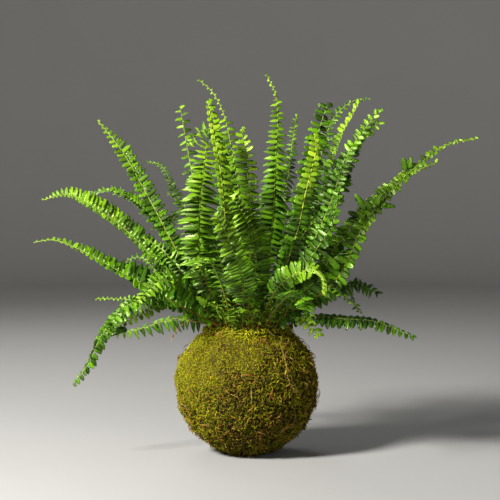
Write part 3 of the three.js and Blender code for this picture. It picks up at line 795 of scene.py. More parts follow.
RIGHT_FRONDS = [
    dict(root=(11, -30), via=[(21, -47, 150), (33, -62, 169), (48, -77, 180), (61, -89, 182),
                              (69, -97, 175), (70, -101, 163)],
         face=(0, -1, 0.35), fold=0, bare=0.2, pinna=14, foot=0.8, taper=0.45, tip=0.6, thin=0.25,
         right=0.7),
    dict(root=(24, -29), via=[(34, -33, 134), (50, -29, 144), (67, -26, 153), (83, -21, 167),
                              (97, -15, 189), (110, -9, 218), (130, -3, 244), (166, 2, 279),
                              (195, 4, 298), (221, 5, 303)],
         face=(-0.2, -0.9, 0.6), fold=0.25, bare=0.1, pinna=17, foot=0.8, taper=0.15, tip=0.3, thin=0.14,
         fall=0.9, right=0.75),
    dict(root=(32, 8), via=[(73, 4, 172), (82, 8, 193), (92, 10, 205), (104, 14, 221), (126, 20, 244),
                            (155, 26, 267), (185, 30, 280)],
         face=(-0.2, -1, 0.3), fold=0.1, bare=0.3, pinna=20, foot=0.9, taper=0.15, tip=0.2, fall=0.6,
         right=0.5),
    dict(root=(32, -15), via=[(62, -28, 134), (92, -36, 133), (120, -40, 131), (144, -42, 122),
                              (157, -42, 117)],
         face=(0, -0.9, 0.9), fold=0.1, bare=0.2, pinna=14, taper=0.3, tip=0.4, left=0.4),
    dict(root=(32, 18), via=[(87, 44, 154), (113, 58, 158), (130, 60, 150)],
         face=(0, -0.8, 0.7), fold=0.2, bare=0.25, pinna=12, taper=0.7, tip=0.7),
    dict(root=(19, 18), via=[(71, 56, 278), (87, 70, 325), (105, 72, 341), (122, 70, 344)],
         face=(-0.3, -0.9, 0.4), fold=0.3, bare=0.3, pinna=12, taper=0.4, tip=0.4, thin=0.12),
    dict(root=(22, 6), via=[(76, 16, 258), (95, 22, 314), (101, 24, 323), (108, 24, 337)],
         face=(-1, -0.5, 0.5), fold=0.5, bare=0.3, pinna=10, taper=0.6, tip=0.6, right=0.4, young=True),
    dict(root=(26, -12), via=[(78, -30, 240), (93, -34, 285), (111, -32, 312), (123, -30, 327)],
         face=(-0.5, -0.9, 0.4), fold=0.3, bare=0.22, pinna=10, taper=0.5, tip=0.6),
    dict(root=(26, 14), via=[(74, 30, 214), (96, 40, 268), (114, 42, 307), (130, 40, 319)],
         face=(-0.4, -0.9, 0.4), fold=0.3, bare=0.25, pinna=12, taper=0.5, tip=0.5),
    dict(root=(22, -26), via=[(42, -54, 166), (65, -70, 202), (78, -74, 222), (82, -74, 241),
                              (83, -73, 253)],
         face=(-0.8, -0.7, 0.3), fold=0.2, bare=0.22, pinna=15, taper=0.4, tip=0.45),
    dict(root=(25, -21), via=[(50, -38, 134), (68, -46, 119)],
         face=(0, -0.7, 0.7), fold=0.1, bare=0.3, pinna=9, taper=0.6, tip=0.6, young=True),
]

GAP_FRONDS = [
    dict(root=(-26, -14), via=[(-44, -26, 158), (-58, -34, 173), (-70, -38, 188), (-83, -40, 201),
                               (-96, -40, 209)],
         face=(0, -1, 0.4), fold=0.1, bare=0.22, pinna=18, foot=0.8, taper=0.4, tip=0.3, thin=0.12,
         left=0.5),
    dict(root=(-33, -9), via=[(-51, -27, 147), (-69, -35, 165), (-85, -40, 179), (-97, -40, 190),
                              (-108, -38, 190), (-115, -36, 185), (-121, -34, 180)],
         face=(0, -1, 0.4), fold=0.1, bare=0.22, pinna=13, foot=0.8, taper=0.3, tip=0.3, thin=0.1,
         left=0.5),
    dict(root=(25, -4), via=[(52, -6, 173), (66, -6, 215), (78, -6, 251), (87, -5, 282)],
         face=(-0.3, -1, 0.3), fold=0.2, bare=0.22, pinna=15, taper=0.5, tip=0.5),
]

# bearing in degrees, radius of the root, reach, height of the arch, height of the tip, longest leaflet
BACK_RING = [
    (36, 34, 142, 168, 128, 14), (56, 30, 152, 226, 206, 16), (70, 20, 122, 272, 268, 15),
    (79, 34, 144, 150, 122, 14), (90, 27, 168, 214, 184, 17), (103, 19, 112, 286, 290, 15),
    (112, 34, 138, 146, 118, 14), (124, 28, 156, 230, 212, 16), (143, 34, 132, 180, 142, 14)]
INNER_RING = [
    (15, 3, 30, 236, 246, 15), (62, 15, 62, 246, 262, 15), (128, 14, 58, 262, 282, 15),
    (172, 20, 78, 232, 252, 16), (232, 22, 74, 216, 236, 17), (318, 26, 84, 206, 226, 17)]
FRONT_RING = [
    (-42, 35, 126, 172, 152, 13), (-64, 34, 138, 162, 136, 13), (-88, 35, 112, 196, 200, 15),
    (-113, 33, 122, 192, 184, 15), (-140, 34, 132, 172, 152, 15)]
RING_FACE = 0.6
RING_STYLE = dict(fold=0.2, bare=0.24, taper=0.45, tip=0.3, tilt=0.3)
RISE_AT, RISE_SHARE = 0.3, 0.62      # a ring frond has risen this share of its arch, this far out
ARCH_AT = 0.66                       # and here it is at the top of its arch


def crown_z(r):
    return CROWN_TOP_Z - (CROWN_TOP_Z - CROWN_RIM_Z) * (r / CROWN_RADIUS) ** 2


def ring_frond(bearing, root_radius, reach, arch_z, tip_z, pinna):
    turn = math.radians(bearing)
    c, s = math.cos(turn), math.sin(turn)
    root_z = crown_z(root_radius)
    span = reach - root_radius
    stations = [(root_radius + RISE_AT * span, root_z + RISE_SHARE * (arch_z - root_z)),
                (root_radius + ARCH_AT * span, arch_z), (reach, tip_z)]
    return dict(root=(root_radius * c, root_radius * s), via=[(r * c, r * s, z) for r, z in stations],
                face=(-RING_FACE * c, -RING_FACE * s, 1), pinna=pinna, **RING_STYLE)


FRONDS = LEFT_FRONDS + UPRIGHT_FRONDS + RIGHT_FRONDS
FRONDS += [ring_frond(*line) for line in BACK_RING + INNER_RING + FRONT_RING]
FRONDS += GAP_FRONDS
print("fronds:", len(FRONDS))


# %% Stalk curves
def smooth_route(points, steps=12):
    """Points along the centripetal Catmull-Rom curve through points."""
    points = [Vector(p) for p in points]
    ends = [2 * points[0] - points[1]] + points + [2 * points[-1] - points[-2]]
    route = []
    for p0, p1, p2, p3 in zip(ends, ends[1:], ends[2:], ends[3:]):
        d0, d1, d2 = [(a - b).length ** 0.5 for a, b in ((p1, p0), (p2, p1), (p3, p2))]
        m1 = ((p1 - p0) / d0 - (p2 - p0) / (d0 + d1) + (p2 - p1) / d1) * d1
        m2 = ((p2 - p1) / d1 - (p3 - p1) / (d1 + d2) + (p3 - p2) / d2) * d1
        for i in range(steps):
            t = i / steps
            a = 2 * t ** 3 - 3 * t ** 2 + 1
            b = t ** 3 - 2 * t ** 2 + t
            c = 3 * t ** 2 - 2 * t ** 3
            d = t ** 3 - t ** 2
            route.append(a * p1 + b * m1 + c * p2 + d * m2)
    return route + [points[-1]]


def leaflet_length(frond, s):
    """Length of the leaflets at a share s of the blade, from its foot to its tip, in mm."""
    opened = 1 - frond.get("thin", 0)
    if s > opened:
        return BEAD
    s /= opened
    foot = frond.get("foot", 0.45)
    growth = foot + (1 - foot) * min(1.0, s / 0.2)
    past = max(0.0, (s - frond["taper"]) / (1 - frond["taper"]))
    return frond["pinna"] * growth * (1 - (1 - frond["tip"]) * past ** frond.get("fall", 1.3))


def stalk_line(name, fronds):
    """Stalks as lines of edges, with the length of the leaflets stored along each."""
    points, edges, lengths = [], [], []
    for frond in fronds:
        route = stalk_route(frond)
        steps = [(b - a).length for a, b in zip(route, route[1:])]
        whole, walked = sum(steps), 0.0
        for place, step in zip(route, [0.0] + steps):
            walked += step
            if walked:
                edges.append((len(points) - 1, len(points)))
            points.append(place * MM)
            blade = (walked / whole - frond["bare"]) / (1 - frond["bare"])
            lengths.append(leaflet_length(frond, max(0.0, blade)) * MM)
    return mesh_object(name, points, edges, [], leaflet=lengths)


def stalk_route(frond):
    x, y = frond["root"]
    foot = (x, y, crown_z(math.hypot(x, y)) + FOOT_CLEARANCE)
    return smooth_route([foot] + frond["via"])


# %% [markdown]
# ### How each frond looks
# Every frond has its own manner. *shape* names the leaflets it carries, *width* and *spacing* are in
# millimetres, *sweep* leans the leaflets towards the tip, or down from it where it is below nought,
# *loose* scales how far each one strays, and the youth goes from 0, full green, to 1, yellow-green;
# below 0 it darkens the frond towards a nearly black green, an old leaf's colour and also painted shade
# for fronds that lie in shadow. A young frond is freshest beyond *above*, a share of its length. *start*
# is where the leaflets begin, as a share of the frame's bare stretch.
# *tilt* turns each leaflet about its own length until its upper side looks up the stalk, as the slats
# of a blind do: an upright frond then shows bright leaflets with dark gaps between. *stalk* is the
# stalk's radius at its foot, in millimetres. A manner can also overrule a word of the frond's row,
# such as the way that it faces.

# %% Frond manners
PLAIN = {"shape": "long", "width": 5.8, "spacing": 4.8, "sweep": 0.0, "loose": 1.3, "youth": -0.15,
         "above": 0.3, "start": 0.45, "tilt": 0.0, "stalk": 0.7}
MANNERS = {
    1: dict(shape="round", width=7.2, spacing=5.4, sweep=0.1, stalk=1.0, loose=0.8, youth=0.0, above=0.4,
            pinna=11, taper=0.8),
    2: dict(width=5.6, spacing=3.8, sweep=0.1, loose=0.5, youth=0.05, above=0.3, shape="sickle",
            face=(0, -1, 0.35), fold=0.1, left=0.3),
    3: dict(width=4.8, spacing=3.7, sweep=0.15, loose=0.6, youth=-0.05),
    4: dict(width=3.8, spacing=3.8, sweep=0.2, youth=-0.35, pinna=8.5, thin=0.05),
    5: dict(shape="sickle", width=9.4, spacing=5.2, sweep=0.15, stalk=0.85, loose=1.0, youth=-0.03,
            above=0.2),
    6: dict(shape="round", width=8.4, spacing=4.6, sweep=0.2, loose=1.6, youth=-0.25),
    7: dict(shape="round", width=5.6, spacing=5.4, sweep=0.0, youth=0.2),
    8: dict(width=4.8, spacing=6.0, sweep=-0.3, loose=0.9, youth=0.0),
    9: dict(shape="round", width=6.5, spacing=4.6, youth=-0.05, face=(0, -1, 0.4)),
    10: dict(shape="sickle", width=4.6, spacing=7.4, sweep=-0.1, tilt=0.3, loose=1.8, youth=-0.05),
    11: dict(shape="pointed", width=5.0, spacing=5.6, sweep=-0.2, tilt=0.3, loose=1.8, youth=-0.05),
    12: dict(width=5.6, spacing=4.3, sweep=-0.05, tilt=0.65, stalk=0.8, loose=1.0, youth=0.08, above=0.0),
    13: dict(width=5.6, spacing=4.3, sweep=0.2, tilt=1.0, stalk=0.9, loose=0.6, youth=0.05, above=0.0),
    14: dict(width=5.6, spacing=4.0, sweep=0.1, tilt=1.0, loose=0.3, youth=0.05, above=0.0),
    15: dict(shape="sickle", width=5.6, spacing=5.8, sweep=-0.1, tilt=0.4, loose=1.2, youth=0.08,
             above=0.1),
    16: dict(shape="round", width=12.5, spacing=5.6, sweep=-0.1, tilt=0.3, stalk=0.9, loose=1.3,
             youth=0.33, above=0.1),
    17: dict(shape="round", width=10.5, spacing=6.0, sweep=0.0, tilt=0.4, loose=1.4, youth=0.2),
    18: dict(shape="pointed", width=9.4, spacing=5.0, sweep=-0.1, tilt=0.5, stalk=0.85, loose=1.0,
             youth=0.03, above=0.3),
    19: dict(shape="curled", width=4.8, spacing=4.2, sweep=0.1, tilt=0.3, loose=1.8, youth=-0.12),
    20: dict(shape="round", width=9.5, spacing=5.8, sweep=-0.2, tilt=0.5, loose=1.4, youth=-0.38),
    21: dict(shape="round", width=11.5, spacing=5.0, sweep=-0.1, tilt=0.3, stalk=0.9, loose=1.0,
             youth=0.6, above=0.55),
    22: dict(shape="round", width=17.0, spacing=4.2, sweep=0.0, tilt=0.1, loose=1.0, youth=0.22,
             above=0.1, start=1.7, right=0.9),
    23: dict(shape="sickle", width=12.0, spacing=5.0, sweep=0.0, loose=1.8, youth=0.06, above=0.3),
    24: dict(shape="round", width=8.4, spacing=5.2, sweep=-0.3, loose=1.6, youth=0.06, above=0.3),
    25: dict(shape="round", width=9.0, spacing=5.6, sweep=0.0, loose=0.7, youth=-0.45),
    26: dict(shape="pointed", width=6.4, spacing=4.8, sweep=0.1, loose=1.4, youth=-0.5),
    27: dict(shape="round", width=8.5, spacing=5.4, sweep=0.0, loose=1.8, youth=-0.42),
    28: dict(shape="round", width=9.5, spacing=4.4, sweep=0.1, loose=1.3, youth=0.5, above=0.6),
    29: dict(shape="round", width=9.5, spacing=6.0, sweep=0.1, loose=1.3, youth=-0.12),
    30: dict(shape="round", width=8.5, spacing=5.2, sweep=0.0, loose=1.6, youth=-0.14),
    31: dict(shape="round", width=8.5, spacing=5.6, sweep=0.0, tilt=-0.3, loose=1.6, youth=-0.5),
    32: dict(shape="round", width=9.0, spacing=5.6, sweep=0.1, loose=1.3, youth=0.3),
    50: dict(width=6.0, spacing=6.0, sweep=-0.2, youth=0.1, above=0.0, pinna=11, taper=0.3, tip=0.3,
             thin=0.1),
    51: dict(width=5.6, spacing=5.6, youth=0.0, pinna=12),
    52: dict(face=(-0.2, -1, 0.7), tilt=0.0, youth=0.05),
    53: dict(width=4.6, spacing=3.8, sweep=0.2, tilt=0.5, loose=0.8, youth=-0.06),
    54: dict(width=4.4, spacing=4.6, sweep=0.1, loose=1.4, youth=-0.3),
    55: dict(shape="round", width=8.5, spacing=5.4, sweep=-0.1, tilt=-0.3, loose=1.9, youth=-0.5),
}

# %% Grow the fronds
ALL_ALONG = -1.0      # a "Fresh from" far enough below 0 that the youth is the same over the whole frond
for number, frond in enumerate(FRONDS, 1):
    name = f"frond_{number:02d}"
    manner = {**PLAIN, **frond, **MANNERS.get(number, {})}
    piece = grown(f"fern_{name}", stalk_line(f"stalk_{number:02d}", [manner]), FROND_TREE, {
        "Face": manner["face"], "Fold": manner["fold"], "Bare share": manner["bare"] * manner["start"],
        "Right share": manner.get("right", 1.0), "Left share": manner.get("left", 1.0),
        "Leaflet width": manner["width"] * MM, "Spacing": manner["spacing"] * MM,
        "Sweep": manner["sweep"], "Tilt": manner["tilt"], "Looseness": manner["loose"],
        "Youth and shade": manner["youth"], "Stalk radius": manner["stalk"] * MM,
        "Fresh from": manner["above"] if manner["youth"] > 0 else ALL_ALONG,
        "Seed": number, "Leaflets": LEAFLETS[manner["shape"]],
        "Leaflet finish": LEAFLET_FINISH, "Stalk finish": STALK_FINISH})
    place_piece(piece, "young_leaf" if frond.get("young") else "leaf", name)
print("frond triangles:", sum(triangles(piece) for piece in PLACED))

# %% [markdown]
# ### Leaflets that stand out
# Some leaflets leave their row: on the long right-hand frond a few glossy ones stand up off the stalk,
# and here and there a broad one hangs alone. They are single copies of the same shapes, each turned
# from its foot towards its tip, with the upper side towards the front.

# %% Standing leaflets
STANDING = [
    # foot, tip, width, shape, youth (below 0, painted shade), tint
    ((113, -6, 235), (103, -9, 250), 6.8, "round", -0.3, 0.9),
    ((119, -7, 236), (113, -14, 243), 6.5, "round", 0.05, 0.7),
    ((124, -6, 240), (125, -10, 250), 6.5, "sickle", 0.05, 0.9),
    ((112, -9, 227), (105, -16, 233), 6.5, "round", 0.1, 0.7),
    ((128, -5, 238), (142, -7, 240), 6.0, "sickle", -0.2, 0.6),
    ((152, 1, 273), (150, 0, 285), 6.0, "round", -0.1, 0.9),
    ((156, 1, 275), (156, 0, 286), 6.0, "sickle", 0.0, 0.8),
    ((-114, -24, 122), (-134, -28, 117), 7.0, "round", -0.4, 0.4),
    ((88, -20, 179), (68, -26, 200), 6.4, "pointed", -0.1, 0.95),
    ((-38, -40, 147), (-47, -46, 154), 7.0, "round", 0.3, 0.5),
    ((-57, -40, 132), (-59, -42, 141), 6.0, "pointed", 0.2, 0.7),
]

STANDING_UP = (-0.2, -1, 0.4)         # where their upper sides look
STANDING_ALONG = 0.4                  # as far along the frond as this, for their colour


def standing_leaflets(name, leaflets):
    points, faces, coordinates = [], [], []
    levels = {"along": [], "youth": [], "tint": []}
    for number, (foot, tip, width, shape, youth, tint) in enumerate(leaflets):
        blade = LEAFLETS[shape].objects[number % KINDS_A_SIDE].data
        foot, ahead = Vector(foot), Vector(tip) - Vector(foot)
        long, ahead = ahead.length, ahead.normalized()
        up = Vector(STANDING_UP)
        up = (up - up.dot(ahead) * ahead).normalized()
        side = up.cross(ahead)
        first = len(points)
        for x, y, z in (vertex.co for vertex in blade.vertices):
            points.append((foot + ahead * x * long + side * y * width + up * z * long) * MM)
        faces += [[first + corner for corner in face.vertices] for face in blade.polygons]
        coordinates += [value for corner in blade.uv_layers["leaflet"].data for value in corner.uv]
        for label, level in (("along", STANDING_ALONG), ("youth", youth), ("tint", tint)):
            levels[label] += [level] * len(blade.vertices)
    piece = mesh_object(name, points, [], faces, **levels)
    piece.data.uv_layers.new(name="leaflet").data.foreach_set("uv", coordinates)
    piece.data.shade_smooth()
    piece.data.materials.append(LEAFLET_FINISH)
    bpy.context.scene.collection.objects.link(piece)
    return piece


piece = standing_leaflets("standing_leaflets", STANDING)
place_piece(piece, "leaf")
print("standing leaflets:", len(STANDING))

# %% [markdown]
# ### Young sprigs
# Between the stalks the crown is crowded with small young fronds that haven't grown out, so no bare
# gap is left over the moss. They have the same build as the big ones, so the frond tree grows them
# all at once from many short routes. The step between their bearings is the golden angle, which never
# lines up one sprig with another.

# %% Grow the sprigs
GOLDEN_ANGLE = math.radians(137.5)
SPRIG_BED = 37             # radius over which the sprigs stand
SPRIG_STALK = 0.5


def sprigs(count, first, span, inmost, pinna, reach, rise, seed):
    """Routes of short fronds from roots spread over the crown. The bearings of the roots run over
    span degrees from first, and inmost is the radius of the root nearest the middle."""
    pick = random.Random(seed)
    found = []
    for i in range(count):
        turn = math.radians(first) + (i * GOLDEN_ANGLE) % (2 * math.pi) * span / 360
        r = inmost + (SPRIG_BED - inmost) * math.sqrt((i + 0.5) / count)
        out_by = (0.25 + 0.75 * r / SPRIG_BED) * reach * pick.uniform(0.7, 1.3)
        up_by = (1.15 - 0.5 * r / SPRIG_BED) * rise * pick.uniform(0.75, 1.25)
        swing = pick.uniform(-0.3, 0.3)
        via = []
        for share, height in ((0.3, 0.45), (0.65, 0.82), (1.0, pick.uniform(0.8, 1.05))):
            radius, bearing = r + out_by * share ** 1.4, turn + swing * share
            level = crown_z(r) + up_by * height
            via.append((radius * math.cos(bearing), radius * math.sin(bearing), level))
        found.append(dict(root=(r * math.cos(turn), r * math.sin(turn)), via=via, bare=0.12,
                          pinna=pinna * pick.uniform(0.8, 1.25), taper=0.4, tip=0.45))
    return found


SPRIGS = [
    # name, leaflet shape, width, spacing, how many, first bearing, span, radius of the inmost root,
    # longest leaflet, reach, rise, youth
    ("small_sprigs", "pointed", 3.8, 4.6, 22, 20, 360, 7, 7.5, 24, 40, 0.12),
    ("broad_sprigs", "round", 6.4, 5.6, 22, 75, 360, 7, 10.0, 24, 38, 0.15),
    ("front_sprigs", "pointed", 5.0, 5.0, 24, 190, 150, 30, 8.5, 14, 30, 0.2),
]
ROUTE_SEED = 40
SPRIG_SEED = 60
for number, (name, shape, width, spacing, *growth, youth) in enumerate(SPRIGS):
    routes = sprigs(*growth, ROUTE_SEED + number)
    piece = grown(name, stalk_line(name, routes), FROND_TREE, {
        "Face": (0, -0.2, 1), "Fold": 0.1, "Bare share": 0.1, "Leaflet width": width * MM,
        "Spacing": spacing * MM, "Sweep": 0.1, "Looseness": 1.8, "Youth and shade": youth,
        "Stalk radius": SPRIG_STALK * MM, "Seed": SPRIG_SEED + number, "Leaflets": LEAFLETS[shape],
        "Leaflet finish": LEAFLET_FINISH, "Stalk finish": STALK_FINISH})
    place_piece(piece, "young_leaf")
    print(name, "triangles:", triangles(piece))

# %% [markdown]
# ## The moss bed
# The moss was laid on as a mat and has knitted into one lumpy layer. Its body is a closed shell: an
# outer skin a few millimetres inside the plant's outline, a lip round the crown, and an inner skin
# against the soil. Noise swells the outer skin. The shoots that grow on it give the ball its outline.
# "shag" on the skin tells how long they are: a short velvet on the lit side, longer and rougher below.

# %% Moss bed
BALL_RADIUS = 70.0
BALL_CENTRE_Z = 69.0
BALL_RISE = 62.0
BALL_DROP = 73.5
MOSS_THICKNESS = 10.0
MOUTH_RADIUS = 40.0
SHOOT_DEPTH = 3.6          # from the outline of the moss to the skin that the shoots grow on
FOOT_Z = 1.2               # the skin stands this far off the floor, on its shoots
FOOT_FADE = 8              # the swellings fade in over this height above the foot
VELVET_RISE = 2            # how much further out the skin stands where the shoots are shortest
ROUND = 150                # vertices round the ball
ROWS_OUTSIDE = 80
ROWS_INSIDE = 10


def arc_profile(from_z, to_z, radius, rise, drop, steps):
    """(radius, height) of points along the outline of a ball that is flatter above than below."""
    def angle(z):
        return math.asin((z - BALL_CENTRE_Z) / (rise if z > BALL_CENTRE_Z else drop))
    start, end = angle(from_z), angle(to_z)
    turns = [start + (end - start) * i / steps for i in range(steps + 1)]
    return [(radius * math.cos(a), BALL_CENTRE_Z + math.sin(a) * (rise if a > 0 else drop)) for a in turns]


BROAD_SWELL = 0.7          # heights and sizes of the swellings, in mm. The broad ones run round the ball
TUFT_SWELL = 2.4
TUFT_SIZE = 11.0
SMALL_SWELL = 1.0
SMALL_SIZE = 4.0


def swelling(x, y, z):
    """How far the moss skin stands out at a place, in mm."""
    turn = math.atan2(y, x)
    broad = math.sin(3 * turn + z / 17) + 0.6 * math.sin(7 * turn - z / 11)
    place = Vector((x, y, z))
    tufts = noise.noise(place / TUFT_SIZE)
    small = noise.noise(place / SMALL_SIZE)
    return BROAD_SWELL * broad + TUFT_SWELL * tufts + SMALL_SWELL * small


LONGEST_SHARE = 1.12
VELVET_SHARE = 0.52        # how much shorter the velvet is
VELVET_FROM_Z = 60
VELVET_FADE_Z = 42
VELVET_FADE_X = 85
VELVET_PATCH = 14
VELVET_PATCHY = 0.9


def shagginess(x, y, z):
    """Length of the shoots at a place, as a share of the longest: least at the upper left."""
    patch = VELVET_PATCHY * noise.noise(Vector((x, y, z)) / VELVET_PATCH)
    level = (z - VELVET_FROM_Z) / VELVET_FADE_Z - x / VELVET_FADE_X + patch
    return LONGEST_SHARE - VELVET_SHARE * max(0.0, min(1.0, level))


def moss_bed():
    d = SHOOT_DEPTH
    inner_radius = BALL_RADIUS - MOSS_THICKNESS
    inner_rise = BALL_RISE - MOSS_THICKNESS
    lip_z = BALL_CENTRE_Z + (BALL_RISE - d) * math.sqrt(1 - (MOUTH_RADIUS / (BALL_RADIUS - d)) ** 2)
    throat_z = BALL_CENTRE_Z + inner_rise * math.sqrt(1 - (MOUTH_RADIUS / inner_radius) ** 2)
    outside = arc_profile(FOOT_Z, lip_z, BALL_RADIUS - d, BALL_RISE - d, BALL_DROP - d, ROWS_OUTSIDE)
    inside = arc_profile(throat_z, MOSS_THICKNESS + 0.5, inner_radius, inner_rise,
                         BALL_CENTRE_Z - MOSS_THICKNESS, ROWS_INSIDE)
    floor = [(outside[0][0] * share, FOOT_Z) for share in (0.25, 0.5, 0.75)]
    profile = floor + outside + inside
    points, faces, cover, shag = [(0, 0, FOOT_Z * MM)], [], [1.0], [1.0]
    for row, (r, z) in enumerate(profile):
        is_outer = row < len(floor) + len(outside)
        fade = max(0.0, min(1.0, (z - FOOT_Z) / FOOT_FADE)) if is_outer else 0.0
        for i in range(ROUND):
            turn = 2 * math.pi * i / ROUND
            x, y = r * math.cos(turn), r * math.sin(turn)
            shag.append(shagginess(x, y, z))
            grow = (swelling(x, y, z) + VELVET_RISE * (1 - shag[-1])) * fade
            away = Vector((x, y, z - BALL_CENTRE_Z)).normalized() * grow
            points.append(((x + away.x) * MM, (y + away.y) * MM, (z + away.z) * MM))
            cover.append(1.0 if is_outer else 0.0)
    points.append((0, 0, profile[-1][1] * MM))
    cover.append(0.0)
    shag.append(1.0)
    for i in range(ROUND):
        j = (i + 1) % ROUND
        faces.append((0, 1 + j, 1 + i))
        for row in range(len(profile) - 1):
            a, b = 1 + row * ROUND, 1 + (row + 1) * ROUND
            faces.append((a + i, a + j, b + j, b + i))
        last = 1 + (len(profile) - 1) * ROUND
        faces.append((last + i, last + j, len(points) - 1))
    bed = mesh_object("moss_bed", points, [], faces, cover=cover, shag=shag)
    bed.data.shade_smooth()
    return bed


# %% [markdown]
# ### Moss colours
# The mat is olive, with pale yellow-green new shoots, and in places it has gone brown. On top of that its
# colour is painted paler towards the upper left and the top, as painted light, and browner low down and at
# the right, as painted shade. Each shoot is painted dark at its foot, as painted shade, and palest at its
# tip.
# The same two colours of patch serve the shoots and the skin beneath them, so that the skin reads as
# more of the same moss in shadow.

# %% Moss materials
# The pale colour also stands for painted light at the upper left, and the brown for painted shade low down
# at the right.
MOSS_PALE_AND_LIT = (0.53, 0.53, 0.012, 1)
MOSS_OLIVE = (0.28, 0.24, 0.008, 1)
MOSS_BROWN_AND_SHADED = (0.056, 0.028, 0.005, 1)
# near black, painted shade: in the moss's hollows, at the feet of its shoots and on the skin beneath them
MOSS_PAINTED_SHADE = (0.018, 0.014, 0.002, 1)
MOSS_GREEN = (0.10, 0.16, 0.004, 1)        # some shoots
MOSS_DRIED = (0.42, 0.20, 0.04, 1)         # some others
MOSS_TIP = (0.74, 0.62, 0.06, 1)
# Painted light and shade: the moss is painted paler towards the left and the top, and browner the other
# way.
LIGHT_PALES_LEFT = -4.6          # how fast the moss pales towards the left and the top, for each metre
LIGHT_PALES_UP = 11.0
PAINTED_LIGHT_EVEN_Z = 0.071             # height at which the moss is neither paler nor browner for it, in metres
BLOTCH = 2.6
HOLLOW_SCALE = 210.0
CELL_SCALE = 520.0
SECOND_CHANCE = 13.7       # stretches the tint so that its fraction is a new chance


def moss_patches_and_light():
    """Moss colour at a place on the ball: its patches, with painted light at the upper left and painted
    shade at the lower right.
    """
    group, source, result = new_group("moss patches and painted light", "ShaderNodeTree", [
        ("Tint", FLOAT, 0.5), ("Patch size", FLOAT, 34.0)], [("Colour", COLOUR)])
    place = object_place(group)
    parts = add(group, "ShaderNodeSeparateXYZ", {"Vector": place})
    # Painted light at the left and the top, painted shade at the right and the bottom.
    lit_left = maths(group, "MULTIPLY", out(parts, "X"), LIGHT_PALES_LEFT)
    lit_top = maths(group, "MULTIPLY", maths(group, "SUBTRACT", out(parts, "Z"), PAINTED_LIGHT_EVEN_Z), LIGHT_PALES_UP)
    patch = noise_level(group, place, out(source, "Patch size"), 3.0)
    blotch = maths(group, "MULTIPLY", maths(group, "SUBTRACT", patch, 0.5), BLOTCH)
    level = maths(group, "ADD", maths(group, "ADD", lit_left, lit_top), blotch)
    level = maths(group, "ADD", level, maths(group, "MULTIPLY", out(source, "Tint"), 1.2))
    low = mix_colour(group, ramp(group, level, -0.1, 0.45), MOSS_BROWN_AND_SHADED, MOSS_OLIVE)
    fill(group, result.inputs["Colour"], mix_colour(group, ramp(group, level, 0.5, 1.3), low, MOSS_PALE_AND_LIT))
    return group


PATCHES_AND_LIGHT = moss_patches_and_light()


def shoot_material():
    material, tree, shader = new_material("moss shoots", 0.75, 0.06)
    tint = attribute(tree, "tint")
    shoot = attribute(tree, "shoot")
    colour = effect(tree, PATCHES_AND_LIGHT, {"Tint": tint})
    # Painted shade: where the moss is shaggy the hollows between the tufts are darkened, and every shoot's
    # foot is darkened, to nearly black where it is shaggy.
    shaggy = ramp(tree, attribute(tree, "shag"), 0.7, 1.1)
    hollow_shade = noise_level(tree, object_place(tree), HOLLOW_SCALE, 1.0)
    hollow_shade = maths(tree, "MULTIPLY", ramp(tree, hollow_shade, 0.54, 0.44, 0.0, 0.9), shaggy)
    colour = mix_colour(tree, hollow_shade, colour, MOSS_PAINTED_SHADE)
    foot = mix_colour(tree, ramp(tree, shaggy, 0.0, 1.0, 0.5, 0.85), colour, MOSS_PAINTED_SHADE)
    deep = mix_colour(tree, ramp(tree, shoot, 0.0, 0.4), foot, colour)
    # A second chance, worked out from the first, turns some shoots greener and dries others.
    chance = maths(tree, "FRACT", maths(tree, "MULTIPLY", tint, SECOND_CHANCE))
    deep = mix_colour(tree, ramp(tree, chance, 0.62, 0.70, 0.0, 0.6), deep, MOSS_GREEN)
    less = maths(tree, "SUBTRACT", chance, maths(tree, "MULTIPLY", shaggy, 0.1))
    deep = mix_colour(tree, ramp(tree, less, 0.12, 0.08, 0.0, 0.7), deep, MOSS_DRIED)
    bright = mix_colour(tree, 0.5, deep, MOSS_TIP)
    at_tip = maths(tree, "MULTIPLY", ramp(tree, shoot, 0.55, 1.0), ramp(tree, tint, 0.2, 1.0))
    colour = mix_colour(tree, at_tip, deep, bright)
    tree.links.new(colour, shader.inputs["Base Color"])
    relief(tree, shader, 1800.0, 0.0002, 0.6)
    return material


def bed_material():
    material, tree, shader = new_material("moss bed", 0.95, 0.15)
    colour = effect(tree, PATCHES_AND_LIGHT, {"Tint": 0.0})
    cell = {"Vector": object_place(tree), "Scale": CELL_SCALE}
    cells = out(add(tree, "ShaderNodeTexVoronoi", cell), "Distance")
    # Painted shade: the skin beneath the shoots is darkened most of the way to near black, most at the
    # cells' edges.
    colour = mix_colour(tree, ramp(tree, cells, 0.1, 0.7, 0.35, 0.9), colour, MOSS_PAINTED_SHADE)
    tree.links.new(colour, shader.inputs["Base Color"])
    relief(tree, shader, 700.0, 0.0012, 1.0)
    return material


SHOOT_FINISH = shoot_material()
BED_FINISH = bed_material()
print("moss finishes:", SHOOT_FINISH.name, BED_FINISH.name)

# %% [markdown]
# ### Moss shoots
# A moss shoot is a short curly tapering strand, bristly with tiny leaves. Six are drawn once, in
# different curls, as closed three-sided tubes whose radius swells and narrows from ring to ring, which
# gives the bristle. The attribute "shoot" runs along each from its foot to its tip.

# %% Moss shoot shapes
SHOOT_SWELL = [0.85, 1.15, 0.75, 0.9]         # radius at each ring, as a share of the shoot's own
SHOOT_STEP = 1 / len(SHOOT_SWELL)
RING_TWIST = 0.5                              # radians from one ring to the next


